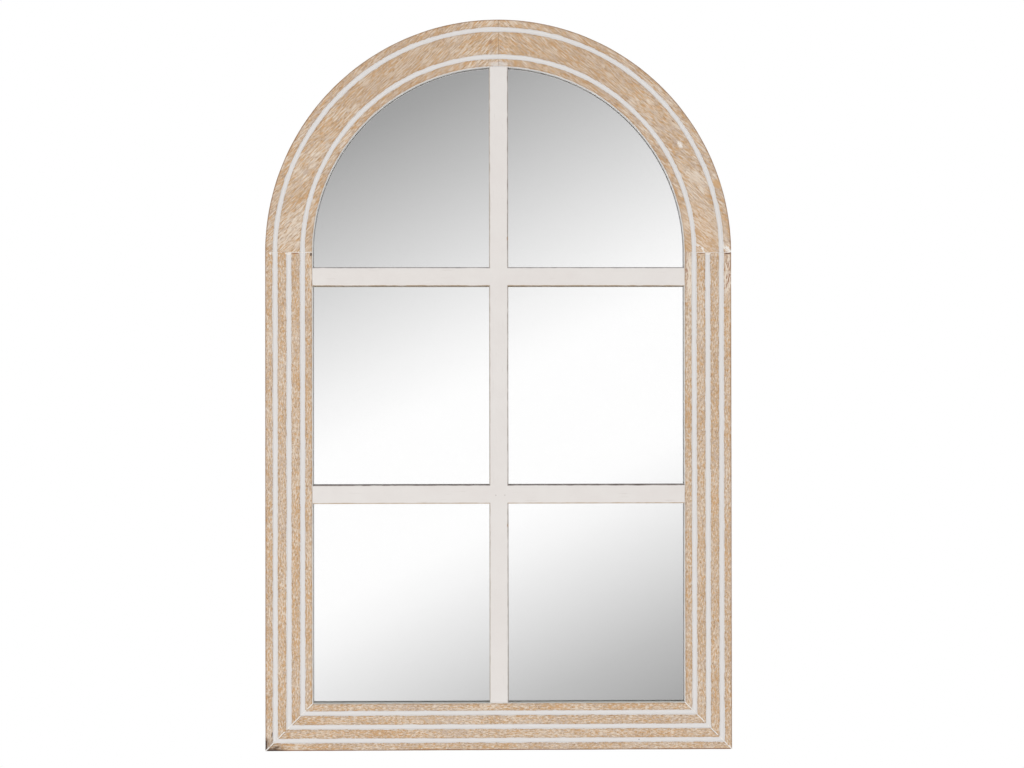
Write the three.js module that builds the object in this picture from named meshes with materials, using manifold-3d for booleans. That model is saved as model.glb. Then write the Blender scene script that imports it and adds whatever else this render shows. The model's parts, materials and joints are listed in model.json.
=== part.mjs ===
// Arched window mirror. A limed hardwood frame carries one arched mirror behind flush window bars.
// Two stiles and a bottom rail meet in mitres, two quarter rings close the top, and painted
// grooves run round the whole face. Behind the mirror a screwed board holds the glass in, and two
// strap hangers with loose rings carry the weight.
//
// Millimetres, +Z up. x = 0 is the middle, y = 0 is the back of the wood, and the front looks along
// -Y. Heights are counted from the bottom edge while the pieces are made, and the finished mirror is
// then lowered so that its origin lies midway between the pivots of the two hanging rings.

import * as THREE from "three";
import { mergeVertices } from "three/addons/utils/BufferGeometryUtils.js";
import Module from "manifold-3d";

const wasm = await Module();
wasm.setup();

// ---------------------------------------------------------------- driving dimensions

// The frame as seen from the front. The arch is a half circle on top of the straight stiles.
const OVERALL_WIDTH = 700;
const OVERALL_HEIGHT = 1097;
const MEMBER_WIDTH = 71;
const MEMBER_DEPTH = 22;
const EDGE_RADIUS = 1.2;

// Grooves in the face: the middle one lies on the centre line of its member.
const GROOVE_PITCH = 20.5;
const GROOVE_DEPTH = 2.2;
const GROOVE_WALL_LEAN = 1;
const STILE_GROOVE_WIDTH = 7.6;
const RAIL_GROOVE_WIDTH = 6.9;
const ARCH_GROOVE_WIDTH = 6.7;

// The stepped rebate behind the face, and what lies in it.
const LIP_DEPTH = 7;
const GLASS_REBATE_WIDTH = 8;
const BOARD_REBATE_WIDTH = 20;
const GLASS_THICKNESS = 4;
const GLASS_PLAY = 0.9;
const BOARD_THICKNESS = 5;

// Clearance between two pieces that touch or fit into each other.
const FIT = 0.3;

// Window bars, half lapped where they cross, with a thin tongue at each end.
const BAR_WIDTH = 27;
const BAR_SETBACK = 0.5;
const BAR_EDGE_RADIUS = 0.9;
const UPPER_BAR_BELOW_SPRING = 36.5;
const TONGUE_LENGTH = 6;
const TONGUE_THICKNESS = 3;

// Loose joinery inside the frame.
const DOWEL_RADIUS = 4;
const DOWEL_LENGTH = 40;
const DOWEL_SPACING = 24;
const DOWEL_CHAMFER = 1;
const BISCUIT_LENGTH = 47;
const BISCUIT_WIDTH = 15;
const BISCUIT_THICKNESS = 4;

// Fasteners. A length is counted from under the head to the tip.
const BRAD = { headRadius: 1, headHeight: 0.6, shankRadius: 0.6, length: 4.6, point: 1 };
const BRAD_SPACING = 13.5;
const BRAD_DRIFT_RIGHT = 2.1; // they are driven by eye, a little right of the middle
const BRAD_DRIFT_DOWN = 1.5;
const HEAD_CROWN_SHARE = 0.7; // of a head's radius, where its rounded top turns flat
const BOARD_SCREW = { headRadius: 3, headHeight: 1.8, shankRadius: 1.5, length: 12, point: 2.5 };
const BOARD_SCREWS_IN_RAIL = 3;
const BOARD_SCREWS_IN_STILE = 3;
const BOARD_SCREWS_IN_QUARTER = 2;
const HANGER_SCREW = { headRadius: 3.2, headHeight: 1.8, shankRadius: 1.5, length: 14, point: 3 };

// Strap hangers: a folded steel strap whose fold holds the straight side of a D ring.
const HANGER_BELOW_SPRING = 57;
const STRAP_WIDTH = 15;
const STRAP_SHEET = 0.8;
const STRAP_LENGTH = 46;
const STRAP_SCREW_DROPS = { upper: 22.5, lower: 37 };
const WIRE_RADIUS = 1.25;
const RING_WIDTH = 25;
const RING_HEIGHT = 18;
const RING_CORNER_RADIUS = 4;

// Wall bumpers on the back of the bottom rail.
const BUMPER_RADIUS = 6;
const BUMPER_HEIGHT = 4;
const BUMPER_ROUNDING = 1;
const BUMPER_FROM_SIDE = 35;
const BUMPER_FROM_BOTTOM = 20;

// How finely round shapes are cut into flats.
const HALF_CIRCLE_STEPS = 64;
const EDGE_STEPS = 2;
const DOWEL_SIDES = 16;
const SCREW_SIDES = 10;
const WIRE_SIDES = 8;
const RING_STEPS = 36;

// ---------------------------------------------------------------- worked out from the above

const HALF_WIDTH = OVERALL_WIDTH / 2;
const SPRING_HEIGHT = OVERALL_HEIGHT - HALF_WIDTH;
const OPENING_HALF_WIDTH = HALF_WIDTH - MEMBER_WIDTH;
const THICK_WIDTH = MEMBER_WIDTH - BOARD_REBATE_WIDTH;
const THICK_MIDDLE = THICK_WIDTH / 2;

const FRONT_Y = -MEMBER_DEPTH;
const GLASS_LEDGE_Y = FRONT_Y + LIP_DEPTH;
const GLASS_FRONT_Y = GLASS_LEDGE_Y + FIT;
const GLASS_BACK_Y = GLASS_FRONT_Y + GLASS_THICKNESS;
const BOARD_LEDGE_Y = GLASS_BACK_Y;
const BOARD_FRONT_Y = BOARD_LEDGE_Y + FIT;
const BOARD_BACK_Y = BOARD_FRONT_Y + BOARD_THICKNESS;
const BOARD_SCREW_Y = BOARD_BACK_Y + FIT;
const JOINERY_Y = (FRONT_Y + GROOVE_DEPTH) / 2;
const PAST = 2; // how far a cutting tool runs past the face that it cuts

const BAR_FRONT_Y = FRONT_Y + BAR_SETBACK;
const BAR_BACK_Y = GLASS_LEDGE_Y;
const LAP_Y = (BAR_FRONT_Y + BAR_BACK_Y) / 2;
const BRAD_SEAT_Y = BAR_FRONT_Y + FIT + BRAD.headHeight;
const TONGUE_FRONT_Y = BAR_BACK_Y - TONGUE_THICKNESS;
const UPPER_BAR_Z = SPRING_HEIGHT - UPPER_BAR_BELOW_SPRING;
const LOWER_PANE_HEIGHT = (UPPER_BAR_Z - 1.5 * BAR_WIDTH - MEMBER_WIDTH) / 2;
const LOWER_BAR_Z = MEMBER_WIDTH + LOWER_PANE_HEIGHT + BAR_WIDTH / 2;

const HANGER_X = HALF_WIDTH - THICK_MIDDLE;
const HANGER_Z = SPRING_HEIGHT - HANGER_BELOW_SPRING;
const BARREL_BORE = WIRE_RADIUS + FIT;
const BARREL_RADIUS = BARREL_BORE + STRAP_SHEET;
const STRAP_BACK_Y = FIT + 2 * STRAP_SHEET;
const HANGER_SCREW_Y = STRAP_BACK_Y + FIT;
const PIVOT_Y = FIT + BARREL_RADIUS;
const RING_DROP = RING_HEIGHT - 2 * WIRE_RADIUS;
const RING_HALF_WIDTH = RING_WIDTH / 2 - WIRE_RADIUS;
// At rest the ring leans on the strap, with its running clearance between them.
const RING_LEAN = Math.asin((STRAP_BACK_Y + FIT + WIRE_RADIUS - PIVOT_Y) / RING_DROP);

// ---------------------------------------------------------------- materials

function finish(color, roughness, metalness = 0) {
  return new THREE.MeshStandardMaterial({ color, roughness, metalness });
}

const LIMED_WOOD = finish(0xcbb298, 0.75);
const PALE_PAINT = finish(0xe5e0dc, 0.6);
const SILVERED_GLASS = finish(0xe4e8e8, 0.03, 1);
const FIBREBOARD = finish(0x9c7b58, 0.85);
const BEECH = finish(0xd8b98a, 0.7);
const ZINC_STEEL = finish(0xb9bab8, 0.35, 1);
const RUBBER = finish(0x34322f, 0.8);

// ---------------------------------------------------------------- solids

const ALONG_X = new THREE.Vector3(1, 0, 0);
const ALONG_Y = new THREE.Vector3(0, 1, 0);
const ALONG_Z = new THREE.Vector3(0, 0, 1);

function facing(across, up, away) {
  return new THREE.Matrix4().makeBasis(across, up, away);
}

// Where the axes of a flat drawing go: seen from the front, from the side, and along the rail.
const FRONT_VIEW = facing(ALONG_X, ALONG_Z, ALONG_Y.clone().negate());
const SIDE_VIEW = facing(ALONG_Y, ALONG_Z, ALONG_X);
const RAIL_VIEW = facing(ALONG_Z, ALONG_Y, ALONG_X.clone().negate());

// A closed three.js geometry as a solid that can be joined and cut.
function solidOf(geometry) {
  const bare = geometry.clone();
  bare.deleteAttribute("normal");
  bare.deleteAttribute("uv");
  const merged = mergeVertices(bare, 1e-4);
  const corners = merged.index.array;
  const triVerts = [];
  for (let i = 0; i < corners.length; i += 3) {
    const [a, b, c] = corners.subarray(i, i + 3);
    if (a !== b && b !== c && c !== a) triVerts.push(a, b, c);
  }
  const vertProperties = merged.getAttribute("position").array;
  const mesh = { numProp: 3, vertProperties, triVerts: new Uint32Array(triVerts) };
  return new wasm.Manifold(new wasm.Mesh(mesh));
}

function geometryOf(solid) {
  const { vertProperties, triVerts } = solid.getMesh();
  const geometry = new THREE.BufferGeometry();
  geometry.setAttribute("position", new THREE.BufferAttribute(vertProperties, 3));
  geometry.setIndex(new THREE.BufferAttribute(triVerts, 1));
  const faceted = geometry.toNonIndexed();
  faceted.computeVertexNormals();
  return faceted;
}

function cutFrom(solid, tools) {
  return tools.reduce((left, tool) => left.subtract(tool), solid);
}

function extruded(outline, depth, curveSegments) {
  return new THREE.ExtrudeGeometry(outline, { depth, curveSegments, bevelEnabled: false });
}

// An outline drawn in the front view, made solid from frontY to backY.
function slab(outline, frontY, backY) {
  const geometry = extruded(outline, backY - frontY, HALF_CIRCLE_STEPS / 2);
  geometry.applyMatrix4(FRONT_VIEW).translate(0, backY, 0);
  return solidOf(geometry);
}

function polygon(corners) {
  return new THREE.Shape(corners.map(([across, up]) => new THREE.Vector2(across, up)));
}

// A rectangle in the front view, with its sides at left, right, bottom and top.
function rectangle(left, right, bottom, top) {
  const corners = [[left, bottom], [right, bottom], [right, top], [left, top]];
  return polygon(corners);
}

// The outline of the window opening, moved outwards by grow.
function openingOutline(grow) {
  const halfWidth = OPENING_HALF_WIDTH + grow;
  const bottom = MEMBER_WIDTH - grow;
  const outline = new THREE.Shape();
  outline.moveTo(-halfWidth, bottom);
  outline.lineTo(halfWidth, bottom);
  outline.lineTo(halfWidth, SPRING_HEIGHT);
  outline.absarc(0, SPRING_HEIGHT, halfWidth, 0, Math.PI, false);
  outline.closePath();
  return outline;
}

// A round piece turned about the Y axis. The profile goes from its low end to its high end.
function turned(profile, sides) {
  const points = profile.map(([radius, height]) => new THREE.Vector2(radius, height));
  return new THREE.LatheGeometry(points, sides);
}

// A round hole along the depth of the mirror, from frontY to backY.
function bored(radius, frontY, backY, x, z) {
  const tool = new THREE.CylinderGeometry(radius, radius, backY - frontY, SCREW_SIDES);
  return solidOf(tool.translate(x, (frontY + backY) / 2, z));
}

// The hole for a screw that is driven from the back, with its head's underside at seatY.
function pilotHole(screw, seatY, x, z) {
  const tipY = seatY - screw.length - FIT;
  return bored(screw.shankRadius + FIT, tipY, seatY + PAST, x, z);
}

// ---------------------------------------------------------------- frame members

// The cross-section of a frame member. x runs inwards from its outer edge and y from the wall to
// the front: eased edges, grooves in the face, and the stepped rebate for glass and board.
function memberSection(grooveCentres, grooveWidth) {
  const section = new THREE.Shape();
  const easedY = FRONT_Y + EDGE_RADIUS;
  const easedInner = MEMBER_WIDTH - EDGE_RADIUS;
  const halfTop = grooveWidth / 2;
  const halfFloor = halfTop - GROOVE_WALL_LEAN;
  section.moveTo(0, 0);
  section.lineTo(0, easedY);
  section.absarc(EDGE_RADIUS, easedY, EDGE_RADIUS, Math.PI, Math.PI * 1.5, false);
  for (const centre of grooveCentres) {
    section.lineTo(centre - halfTop, FRONT_Y);
    section.lineTo(centre - halfFloor, FRONT_Y + GROOVE_DEPTH);
    section.lineTo(centre + halfFloor, FRONT_Y + GROOVE_DEPTH);
    section.lineTo(centre + halfTop, FRONT_Y);
  }
  section.absarc(easedInner, easedY, EDGE_RADIUS, Math.PI * 1.5, Math.PI * 2, false);
  section.lineTo(MEMBER_WIDTH, GLASS_LEDGE_Y);
  section.lineTo(MEMBER_WIDTH - GLASS_REBATE_WIDTH, GLASS_LEDGE_Y);
  section.lineTo(MEMBER_WIDTH - GLASS_REBATE_WIDTH, BOARD_LEDGE_Y);
  section.lineTo(THICK_WIDTH, BOARD_LEDGE_Y);
  section.lineTo(THICK_WIDTH, 0);
  section.closePath();
  return section.getPoints(EDGE_STEPS);
}

const STRAIGHT_GROOVES = [-1, 0, 1].map((step) => MEMBER_WIDTH / 2 + step * GROOVE_PITCH);
// Round the arch the middle groove is left out: it stops where the stile ends.
const ARCH_GROOVES = [STRAIGHT_GROOVES[0], STRAIGHT_GROOVES[2]];
const MITRE_GAP = FIT / Math.SQRT2;

// A stile: its section runs up from the mitre to the spring line. side is -1 left and 1 right.
function stileBlank(side) {
  const section = memberSection(STRAIGHT_GROOVES, STILE_GROOVE_WIDTH);
  const placed = section.map((p) => [side * (HALF_WIDTH - p.x), p.y]);
  const length = solidOf(extruded(polygon(placed), SPRING_HEIGHT, 1));
  const top = SPRING_HEIGHT - FIT / 2;
  const mitre = [
    [side * (HALF_WIDTH + PAST), MITRE_GAP - PAST],
    [side * (HALF_WIDTH + PAST), top],
    [0, top],
    [0, HALF_WIDTH + MITRE_GAP],
  ];
  return length.intersect(slab(polygon(mitre), FRONT_Y - PAST, PAST));
}

function railBlank() {
  const section = memberSection(STRAIGHT_GROOVES, RAIL_GROOVE_WIDTH);
  const geometry = extruded(new THREE.Shape(section), OVERALL_WIDTH, 1);
  geometry.applyMatrix4(RAIL_VIEW).translate(HALF_WIDTH, 0, 0);
  const reach = HALF_WIDTH - MITRE_GAP;
  const mitres = [[-reach - PAST, -PAST], [reach + PAST, -PAST], [0, reach]];
  return solidOf(geometry).intersect(slab(polygon(mitres), FRONT_Y - PAST, PAST));
}

// The arch is one turned ring, sawn at the crown and at the spring line into two quarters.
function archRing() {
  const section = memberSection(ARCH_GROOVES, ARCH_GROOVE_WIDTH);
  const profile = section.map((p) => [HALF_WIDTH - p.x, p.y]).reverse();
  const closed = [...profile, profile[0]];
  const ring = turned(closed, 2 * HALF_CIRCLE_STEPS);
  ring.translate(0, 0, SPRING_HEIGHT);
  return solidOf(ring);
}

function archQuarter(ring, side) {
  const joint = side * (FIT / 2);
  const far = side * (HALF_WIDTH + PAST);
  const bottom = SPRING_HEIGHT + FIT / 2;
  const top = OVERALL_HEIGHT + PAST;
  return ring.intersect(slab(rectangle(joint, far, bottom, top), FRONT_Y - PAST, PAST));
}

// ---------------------------------------------------------------- joinery inside the frame

function dowel(grow = 0) {
  const radius = DOWEL_RADIUS + grow;
  const half = DOWEL_LENGTH / 2 + grow;
  const neck = radius - DOWEL_CHAMFER;
  const shoulder = half - DOWEL_CHAMFER;
  const lowerEnd = [[0, -half], [neck, -half], [radius, -shoulder]];
  const upperEnd = [[radius, shoulder], [neck, half], [0, half]];
  return turned([...lowerEnd, ...upperEnd], DOWEL_SIDES);
}

const DOWEL_PLACES = {
  outer: THICK_MIDDLE - DOWEL_SPACING / 2,
  inner: THICK_MIDDLE + DOWEL_SPACING / 2,
};

// Two upright dowels cross each spring joint.
function springDowel(side, inset, grow) {
  const geometry = dowel(grow).rotateX(Math.PI / 2);
  return solidOf(geometry.translate(side * (HALF_WIDTH - inset), JOINERY_Y, SPRING_HEIGHT));
}

// Two level dowels cross the crown joint.
function crownDowel(inset, grow) {
  const geometry = dowel(grow).rotateZ(Math.PI / 2);
  return solidOf(geometry.translate(0, JOINERY_Y, OVERALL_HEIGHT - inset));
}

// A biscuit is the part that two crossing discs share. It lies in the mitre, half in each member.
function mitreBiscuit(side, grow = 0) {
  const arcRadius = (BISCUIT_LENGTH ** 2 + BISCUIT_WIDTH ** 2) / (4 * BISCUIT_WIDTH);
  const shift = (arcRadius - BISCUIT_WIDTH / 2) / Math.SQRT2;
  const radius = arcRadius + grow;
  const thickness = BISCUIT_THICKNESS + 2 * grow;
  const discs = [-1, 1].map((turn) => {
    const disc = new THREE.CylinderGeometry(radius, radius, thickness, 2 * HALF_CIRCLE_STEPS);
    const x = HALF_WIDTH - THICK_MIDDLE + turn * shift;
    disc.translate(side * x, JOINERY_Y, THICK_MIDDLE + turn * shift);
    return solidOf(disc);
  });
  return discs[0].intersect(discs[1]);
}

// ---------------------------------------------------------------- window bars

function barSection() {
  const half = BAR_WIDTH / 2;
  const eased = half - BAR_EDGE_RADIUS;
  const easedY = BAR_FRONT_Y + BAR_EDGE_RADIUS;
  const section = new THREE.Shape();
  section.moveTo(-half, BAR_BACK_Y);
  section.lineTo(-half, easedY);
  section.absarc(-eased, easedY, BAR_EDGE_RADIUS, Math.PI, Math.PI * 1.5, false);
  section.absarc(eased, easedY, BAR_EDGE_RADIUS, Math.PI * 1.5, Math.PI * 2, false);
  section.lineTo(half, BAR_BACK_Y);
  section.closePath();
  return section;
}

// A bar is scribed to the opening, and its rear half runs on as a tongue into the frame.
function scribed(geometry) {
  const blank = solidOf(geometry);
  const face = blank.intersect(slab(openingOutline(-FIT), BAR_FRONT_Y - PAST, BAR_BACK_Y + PAST));
  const reach = openingOutline(TONGUE_LENGTH - FIT);
  return face.add(blank.intersect(slab(reach, TONGUE_FRONT_Y, BAR_BACK_Y + PAST)));
}

function uprightBlank() {
  return scribed(extruded(barSection(), OVERALL_HEIGHT, EDGE_STEPS));
}

function crossBlank(z) {
  const geometry = extruded(barSection(), OVERALL_WIDTH, EDGE_STEPS);
  return scribed(geometry.applyMatrix4(RAIL_VIEW).translate(HALF_WIDTH, 0, z));
}

// The upright keeps its front half at a crossing, and the cross-bar keeps its rear half.
function lapInUpright(z) {
  const half = BAR_WIDTH / 2;
  const outline = rectangle(-half - PAST, half + PAST, z - half - FIT, z + half + FIT);
  return slab(outline, LAP_Y - FIT / 2, BAR_BACK_Y + PAST);
}

function lapInCrossBar(z) {
  const half = BAR_WIDTH / 2;
  const outline = rectangle(-half - FIT, half + FIT, z - half - PAST, z + half + PAST);
  return slab(outline, BAR_FRONT_Y - PAST, LAP_Y + FIT / 2);
}

// The housings in the back of the frame's lip that take the tongues of the bars.
function tongueHousing(outline) {
  const housing = slab(outline, TONGUE_FRONT_Y - FIT, GLASS_LEDGE_Y + PAST);
  return housing.intersect(slab(openingOutline(TONGUE_LENGTH), FRONT_Y, PAST));
}

function uprightHousing() {
  const half = BAR_WIDTH / 2 + FIT;
  return tongueHousing(rectangle(-half, half, 0, OVERALL_HEIGHT));
}

function crossHousing(z) {
  const half = BAR_WIDTH / 2 + FIT;
  return tongueHousing(rectangle(-HALF_WIDTH, HALF_WIDTH, z - half, z + half));
}

// ---------------------------------------------------------------- fasteners

// A round-headed screw or nail that points to the front, with its head's underside at y = 0.
function fastener({ headRadius, headHeight, shankRadius, length, point }) {
  const profile = [
    [0, -length],
    [shankRadius, point - length],
    [shankRadius, 0],
    [headRadius, 0],
    [headRadius, headHeight / 2],
    [headRadius * HEAD_CROWN_SHARE, headHeight],
    [0, headHeight],
  ];
  return turned(profile, SCREW_SIDES);
}

// A brad is driven from the front until its head is just below the face of the bar.
function bradHole(x, z) {
  const { headRadius, shankRadius, length } = BRAD;
  const sinking = bored(headRadius + FIT, BAR_FRONT_Y - PAST, BRAD_SEAT_Y + FIT, x, z);
  const shank = bored(shankRadius + FIT, BAR_FRONT_Y, BRAD_SEAT_Y + length + FIT, x, z);
  return sinking.add(shank);
}

// Board screws stand in the middle of the board's ledge, evenly spaced along each member.
function boardScrewPlaces() {
  const inset = (GLASS_REBATE_WIDTH + BOARD_REBATE_WIDTH) / 2;
  const ledge = OPENING_HALF_WIDTH + inset;
  const places = [];
  const evenly = (count, step) => {
    for (let i = 0; i < count; i += 1) step((i + 0.5) / count);
  };
  const railZ = MEMBER_WIDTH - inset;
  evenly(BOARD_SCREWS_IN_RAIL, (share) => places.push([(2 * share - 1) * OPENING_HALF_WIDTH, railZ]));
  for (const side of [-1, 1]) {
    const height = SPRING_HEIGHT - MEMBER_WIDTH;
    evenly(BOARD_SCREWS_IN_STILE, (share) => places.push([side * ledge, MEMBER_WIDTH + share * height]));
    evenly(BOARD_SCREWS_IN_QUARTER, (share) => {
      const angle = share * (Math.PI / 2);
      places.push([side * ledge * Math.cos(angle), SPRING_HEIGHT + ledge * Math.sin(angle)]);
    });
  }
  return places;
}

// ---------------------------------------------------------------- strap hangers

// The folded strap from the side: two layers of sheet, and the fold rolled round the ring's wire.
function strapSide() {
  const meets = Math.asin((PIVOT_Y - STRAP_BACK_Y) / BARREL_RADIUS);
  const outline = new THREE.Shape();
  outline.moveTo(FIT, -STRAP_LENGTH);
  outline.lineTo(STRAP_BACK_Y, -STRAP_LENGTH);
  outline.absarc(PIVOT_Y, 0, BARREL_RADIUS, -Math.PI / 2 - meets, Math.PI, false);
  outline.closePath();
  const bore = new THREE.Path();
  bore.absarc(PIVOT_Y, 0, BARREL_BORE, 0, Math.PI * 2, true);
  outline.holes.push(bore);
  return outline;
}

// The strap from the front: straight sides and a round lower end.
function strapFront() {
  const half = STRAP_WIDTH / 2;
  const outline = new THREE.Shape();
  outline.moveTo(half, BARREL_RADIUS + PAST);
  outline.lineTo(-half, BARREL_RADIUS + PAST);
  outline.absarc(0, half - STRAP_LENGTH, half, Math.PI, Math.PI * 2, false);
  outline.closePath();
  return outline;
}

function hangerPilots(x, pivotZ) {
  const drops = Object.values(STRAP_SCREW_DROPS);
  return drops.map((drop) => pilotHole(HANGER_SCREW, HANGER_SCREW_Y, x, pivotZ - drop));
}

function hangerStrap() {
  const side = extruded(strapSide(), STRAP_WIDTH + 2 * PAST, SCREW_SIDES);
  side.applyMatrix4(SIDE_VIEW).translate(-STRAP_WIDTH / 2 - PAST, 0, 0);
  const strap = solidOf(side).intersect(slab(strapFront(), -PAST, PIVOT_Y + BARREL_RADIUS + PAST));
  return cutFrom(strap, hangerPilots(0, 0));
}

// The D ring hangs from its straight side, which lies on the pivot. Its butted ends meet there.
function ringPath() {
  const straight = RING_HALF_WIDTH - RING_CORNER_RADIUS;
  const bowCentre = RING_HALF_WIDTH - RING_DROP;
  const path = new THREE.Path();
  path.moveTo(FIT / 2, 0);
  path.lineTo(straight, 0);
  path.absarc(straight, -RING_CORNER_RADIUS, RING_CORNER_RADIUS, Math.PI / 2, 0, true);
  path.absarc(0, bowCentre, RING_HALF_WIDTH, 0, -Math.PI, true);
  path.absarc(-straight, -RING_CORNER_RADIUS, RING_CORNER_RADIUS, Math.PI, Math.PI / 2, true);
  path.lineTo(-FIT / 2, 0);
  const places = path.getSpacedPoints(RING_STEPS).map((p) => new THREE.Vector3(p.x, 0, p.y));
  return new THREE.CatmullRomCurve3(places);
}

function hangerRing() {
  const wire = new THREE.Shape();
  wire.absarc(0, 0, WIRE_RADIUS, 0, Math.PI * 2, false);
  const options = { steps: RING_STEPS, curveSegments: WIRE_SIDES / 2, extrudePath: ringPath() };
  return solidOf(new THREE.ExtrudeGeometry(wire, options));
}

function wallBumper() {
  const shoulder = BUMPER_HEIGHT - BUMPER_ROUNDING;
  const crown = BUMPER_RADIUS - BUMPER_ROUNDING;
  const face = [[crown, BUMPER_HEIGHT], [0, BUMPER_HEIGHT]];
  return turned([[0, 0], [BUMPER_RADIUS, 0], [BUMPER_RADIUS, shoulder], ...face], 2 * SCREW_SIDES);
}

// ---------------------------------------------------------------- putting the mirror together

const mirror = new THREE.Group();
mirror.position.set(0, 0, -HANGER_Z);

function addPiece(parent, name, shape, material, x = 0, y = 0, z = 0) {
  const geometry = shape.isBufferGeometry ? shape : geometryOf(shape);
  const piece = new THREE.Mesh(geometry, material);
  piece.name = name;
  piece.position.set(x, y, z);
  parent.add(piece);
  return piece;
}

const SIDES = [["left", -1], ["right", 1]];
const BARS = [["upper", UPPER_BAR_Z], ["lower", LOWER_BAR_Z]];
const screwPlaces = boardScrewPlaces();
const boardPilots = screwPlaces.map(([x, z]) => pilotHole(BOARD_SCREW, BOARD_SCREW_Y, x, z));

function addFrame() {
  const insets = Object.values(DOWEL_PLACES);
  const crownHoles = insets.map((inset) => crownDowel(inset, FIT));
  const crossHousings = BARS.map(([, z]) => crossHousing(z));
  const ring = archRing();
  for (const [label, side] of SIDES) {
    const springHoles = insets.map((inset) => springDowel(side, inset, FIT));
    const mitreSlot = mitreBiscuit(side, FIT);
    const hangerHoles = hangerPilots(side * HANGER_X, HANGER_Z);
    const stileCuts = [mitreSlot, ...springHoles, ...crossHousings, ...boardPilots, ...hangerHoles];
    const quarterCuts = [...springHoles, ...crownHoles, uprightHousing(), ...boardPilots];
    addPiece(mirror, `${label}_stile`, cutFrom(stileBlank(side), stileCuts), LIMED_WOOD);
    addPiece(mirror, `${label}_arch_quarter`, cutFrom(archQuarter(ring, side), quarterCuts), LIMED_WOOD);
  }
  const mitreSlots = SIDES.map(([, side]) => mitreBiscuit(side, FIT));
  const railCuts = [...mitreSlots, uprightHousing(), ...boardPilots];
  addPiece(mirror, "bottom_rail", cutFrom(railBlank(), railCuts), LIMED_WOOD);
}

function addJoinery() {
  for (const [place, inset] of Object.entries(DOWEL_PLACES)) {
    addPiece(mirror, `crown_dowel_${place}`, crownDowel(inset), BEECH);
    for (const [label, side] of SIDES) {
      addPiece(mirror, `${label}_spring_dowel_${place}`, springDowel(side, inset), BEECH);
    }
  }
  for (const [label, side] of SIDES) {
    addPiece(mirror, `${label}_mitre_biscuit`, mitreBiscuit(side), BEECH);
  }
}

function addBars() {
  const halfGap = BRAD_SPACING / 2;
  const brad = fastener(BRAD).rotateX(Math.PI);
  const uprightCuts = [];
  for (const [label, z] of BARS) {
    const bradX = (side) => BRAD_DRIFT_RIGHT + side * halfGap;
    const bradZ = z - BRAD_DRIFT_DOWN;
    const holes = SIDES.map(([, side]) => bradHole(bradX(side), bradZ));
    const crossBar = cutFrom(crossBlank(z), [lapInCrossBar(z), ...holes]);
    uprightCuts.push(lapInUpright(z), ...holes);
    addPiece(mirror, `${label}_cross_bar`, crossBar, PALE_PAINT);
    for (const [place, side] of SIDES) {
      const name = `${label}_crossing_brad_${place}`;
      addPiece(mirror, name, brad, ZINC_STEEL, bradX(side), BRAD_SEAT_Y, bradZ);
    }
  }
  addPiece(mirror, "upright_bar", cutFrom(uprightBlank(), uprightCuts), PALE_PAINT);
}

function addGlassAndBoard() {
  const glassOutline = openingOutline(GLASS_REBATE_WIDTH - GLASS_PLAY);
  const boardOutline = openingOutline(BOARD_REBATE_WIDTH - FIT);
  const glass = slab(glassOutline, GLASS_FRONT_Y, GLASS_BACK_Y);
  const board = slab(boardOutline, BOARD_FRONT_Y, BOARD_BACK_Y);
  const screw = fastener(BOARD_SCREW);
  addPiece(mirror, "mirror_glass", glass, SILVERED_GLASS);
  addPiece(mirror, "backing_board", cutFrom(board, boardPilots), FIBREBOARD);
  screwPlaces.forEach(([x, z], i) => {
    addPiece(mirror, `board_screw_${i + 1}`, screw, ZINC_STEEL, x, BOARD_SCREW_Y, z);
  });
}

function addHangers() {
  const strap = hangerStrap();
  const ring = hangerRing();
  const screw = fastener(HANGER_SCREW);
  for (const [label, side] of SIDES) {
    const hanger = new THREE.Group();
    hanger.position.set(side * HANGER_X, 0, HANGER_Z);
    mirror.add(hanger);
    addPiece(hanger, `${label}_hanger_strap`, strap, ZINC_STEEL);
    const swinging = addPiece(hanger, `${label}_hanger_ring`, ring, ZINC_STEEL, 0, PIVOT_Y, 0);
    swinging.rotation.x = RING_LEAN;
    for (const [place, drop] of Object.entries(STRAP_SCREW_DROPS)) {
      addPiece(hanger, `${label}_hanger_screw_${place}`, screw, ZINC_STEEL, 0, HANGER_SCREW_Y, -drop);
    }
  }
}

function addBumpers() {
  const x = HALF_WIDTH - BUMPER_FROM_SIDE;
  for (const [label, side] of SIDES) {
    addPiece(mirror, `${label}_wall_bumper`, wallBumper(), RUBBER, side * x, FIT, BUMPER_FROM_BOTTOM);
  }
}

addFrame();
addJoinery();
addBars();
addGlassAndBoard();
addHangers();
addBumpers();

export default mirror;
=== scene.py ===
# %% [markdown]
# # An arched window mirror
# This lesson dresses a mirror whose solids were drawn elsewhere. They arrive as a fixed
# frame: every solid is a node, every moving group is a body, and everything is in metres. The
# origin lies midway between the two hanging rings, the front looks along -Y and +Z points up.

# %% Load the imported mirror
import json
import math

import bmesh
import bpy
from mathutils import Matrix, Vector, noise


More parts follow.
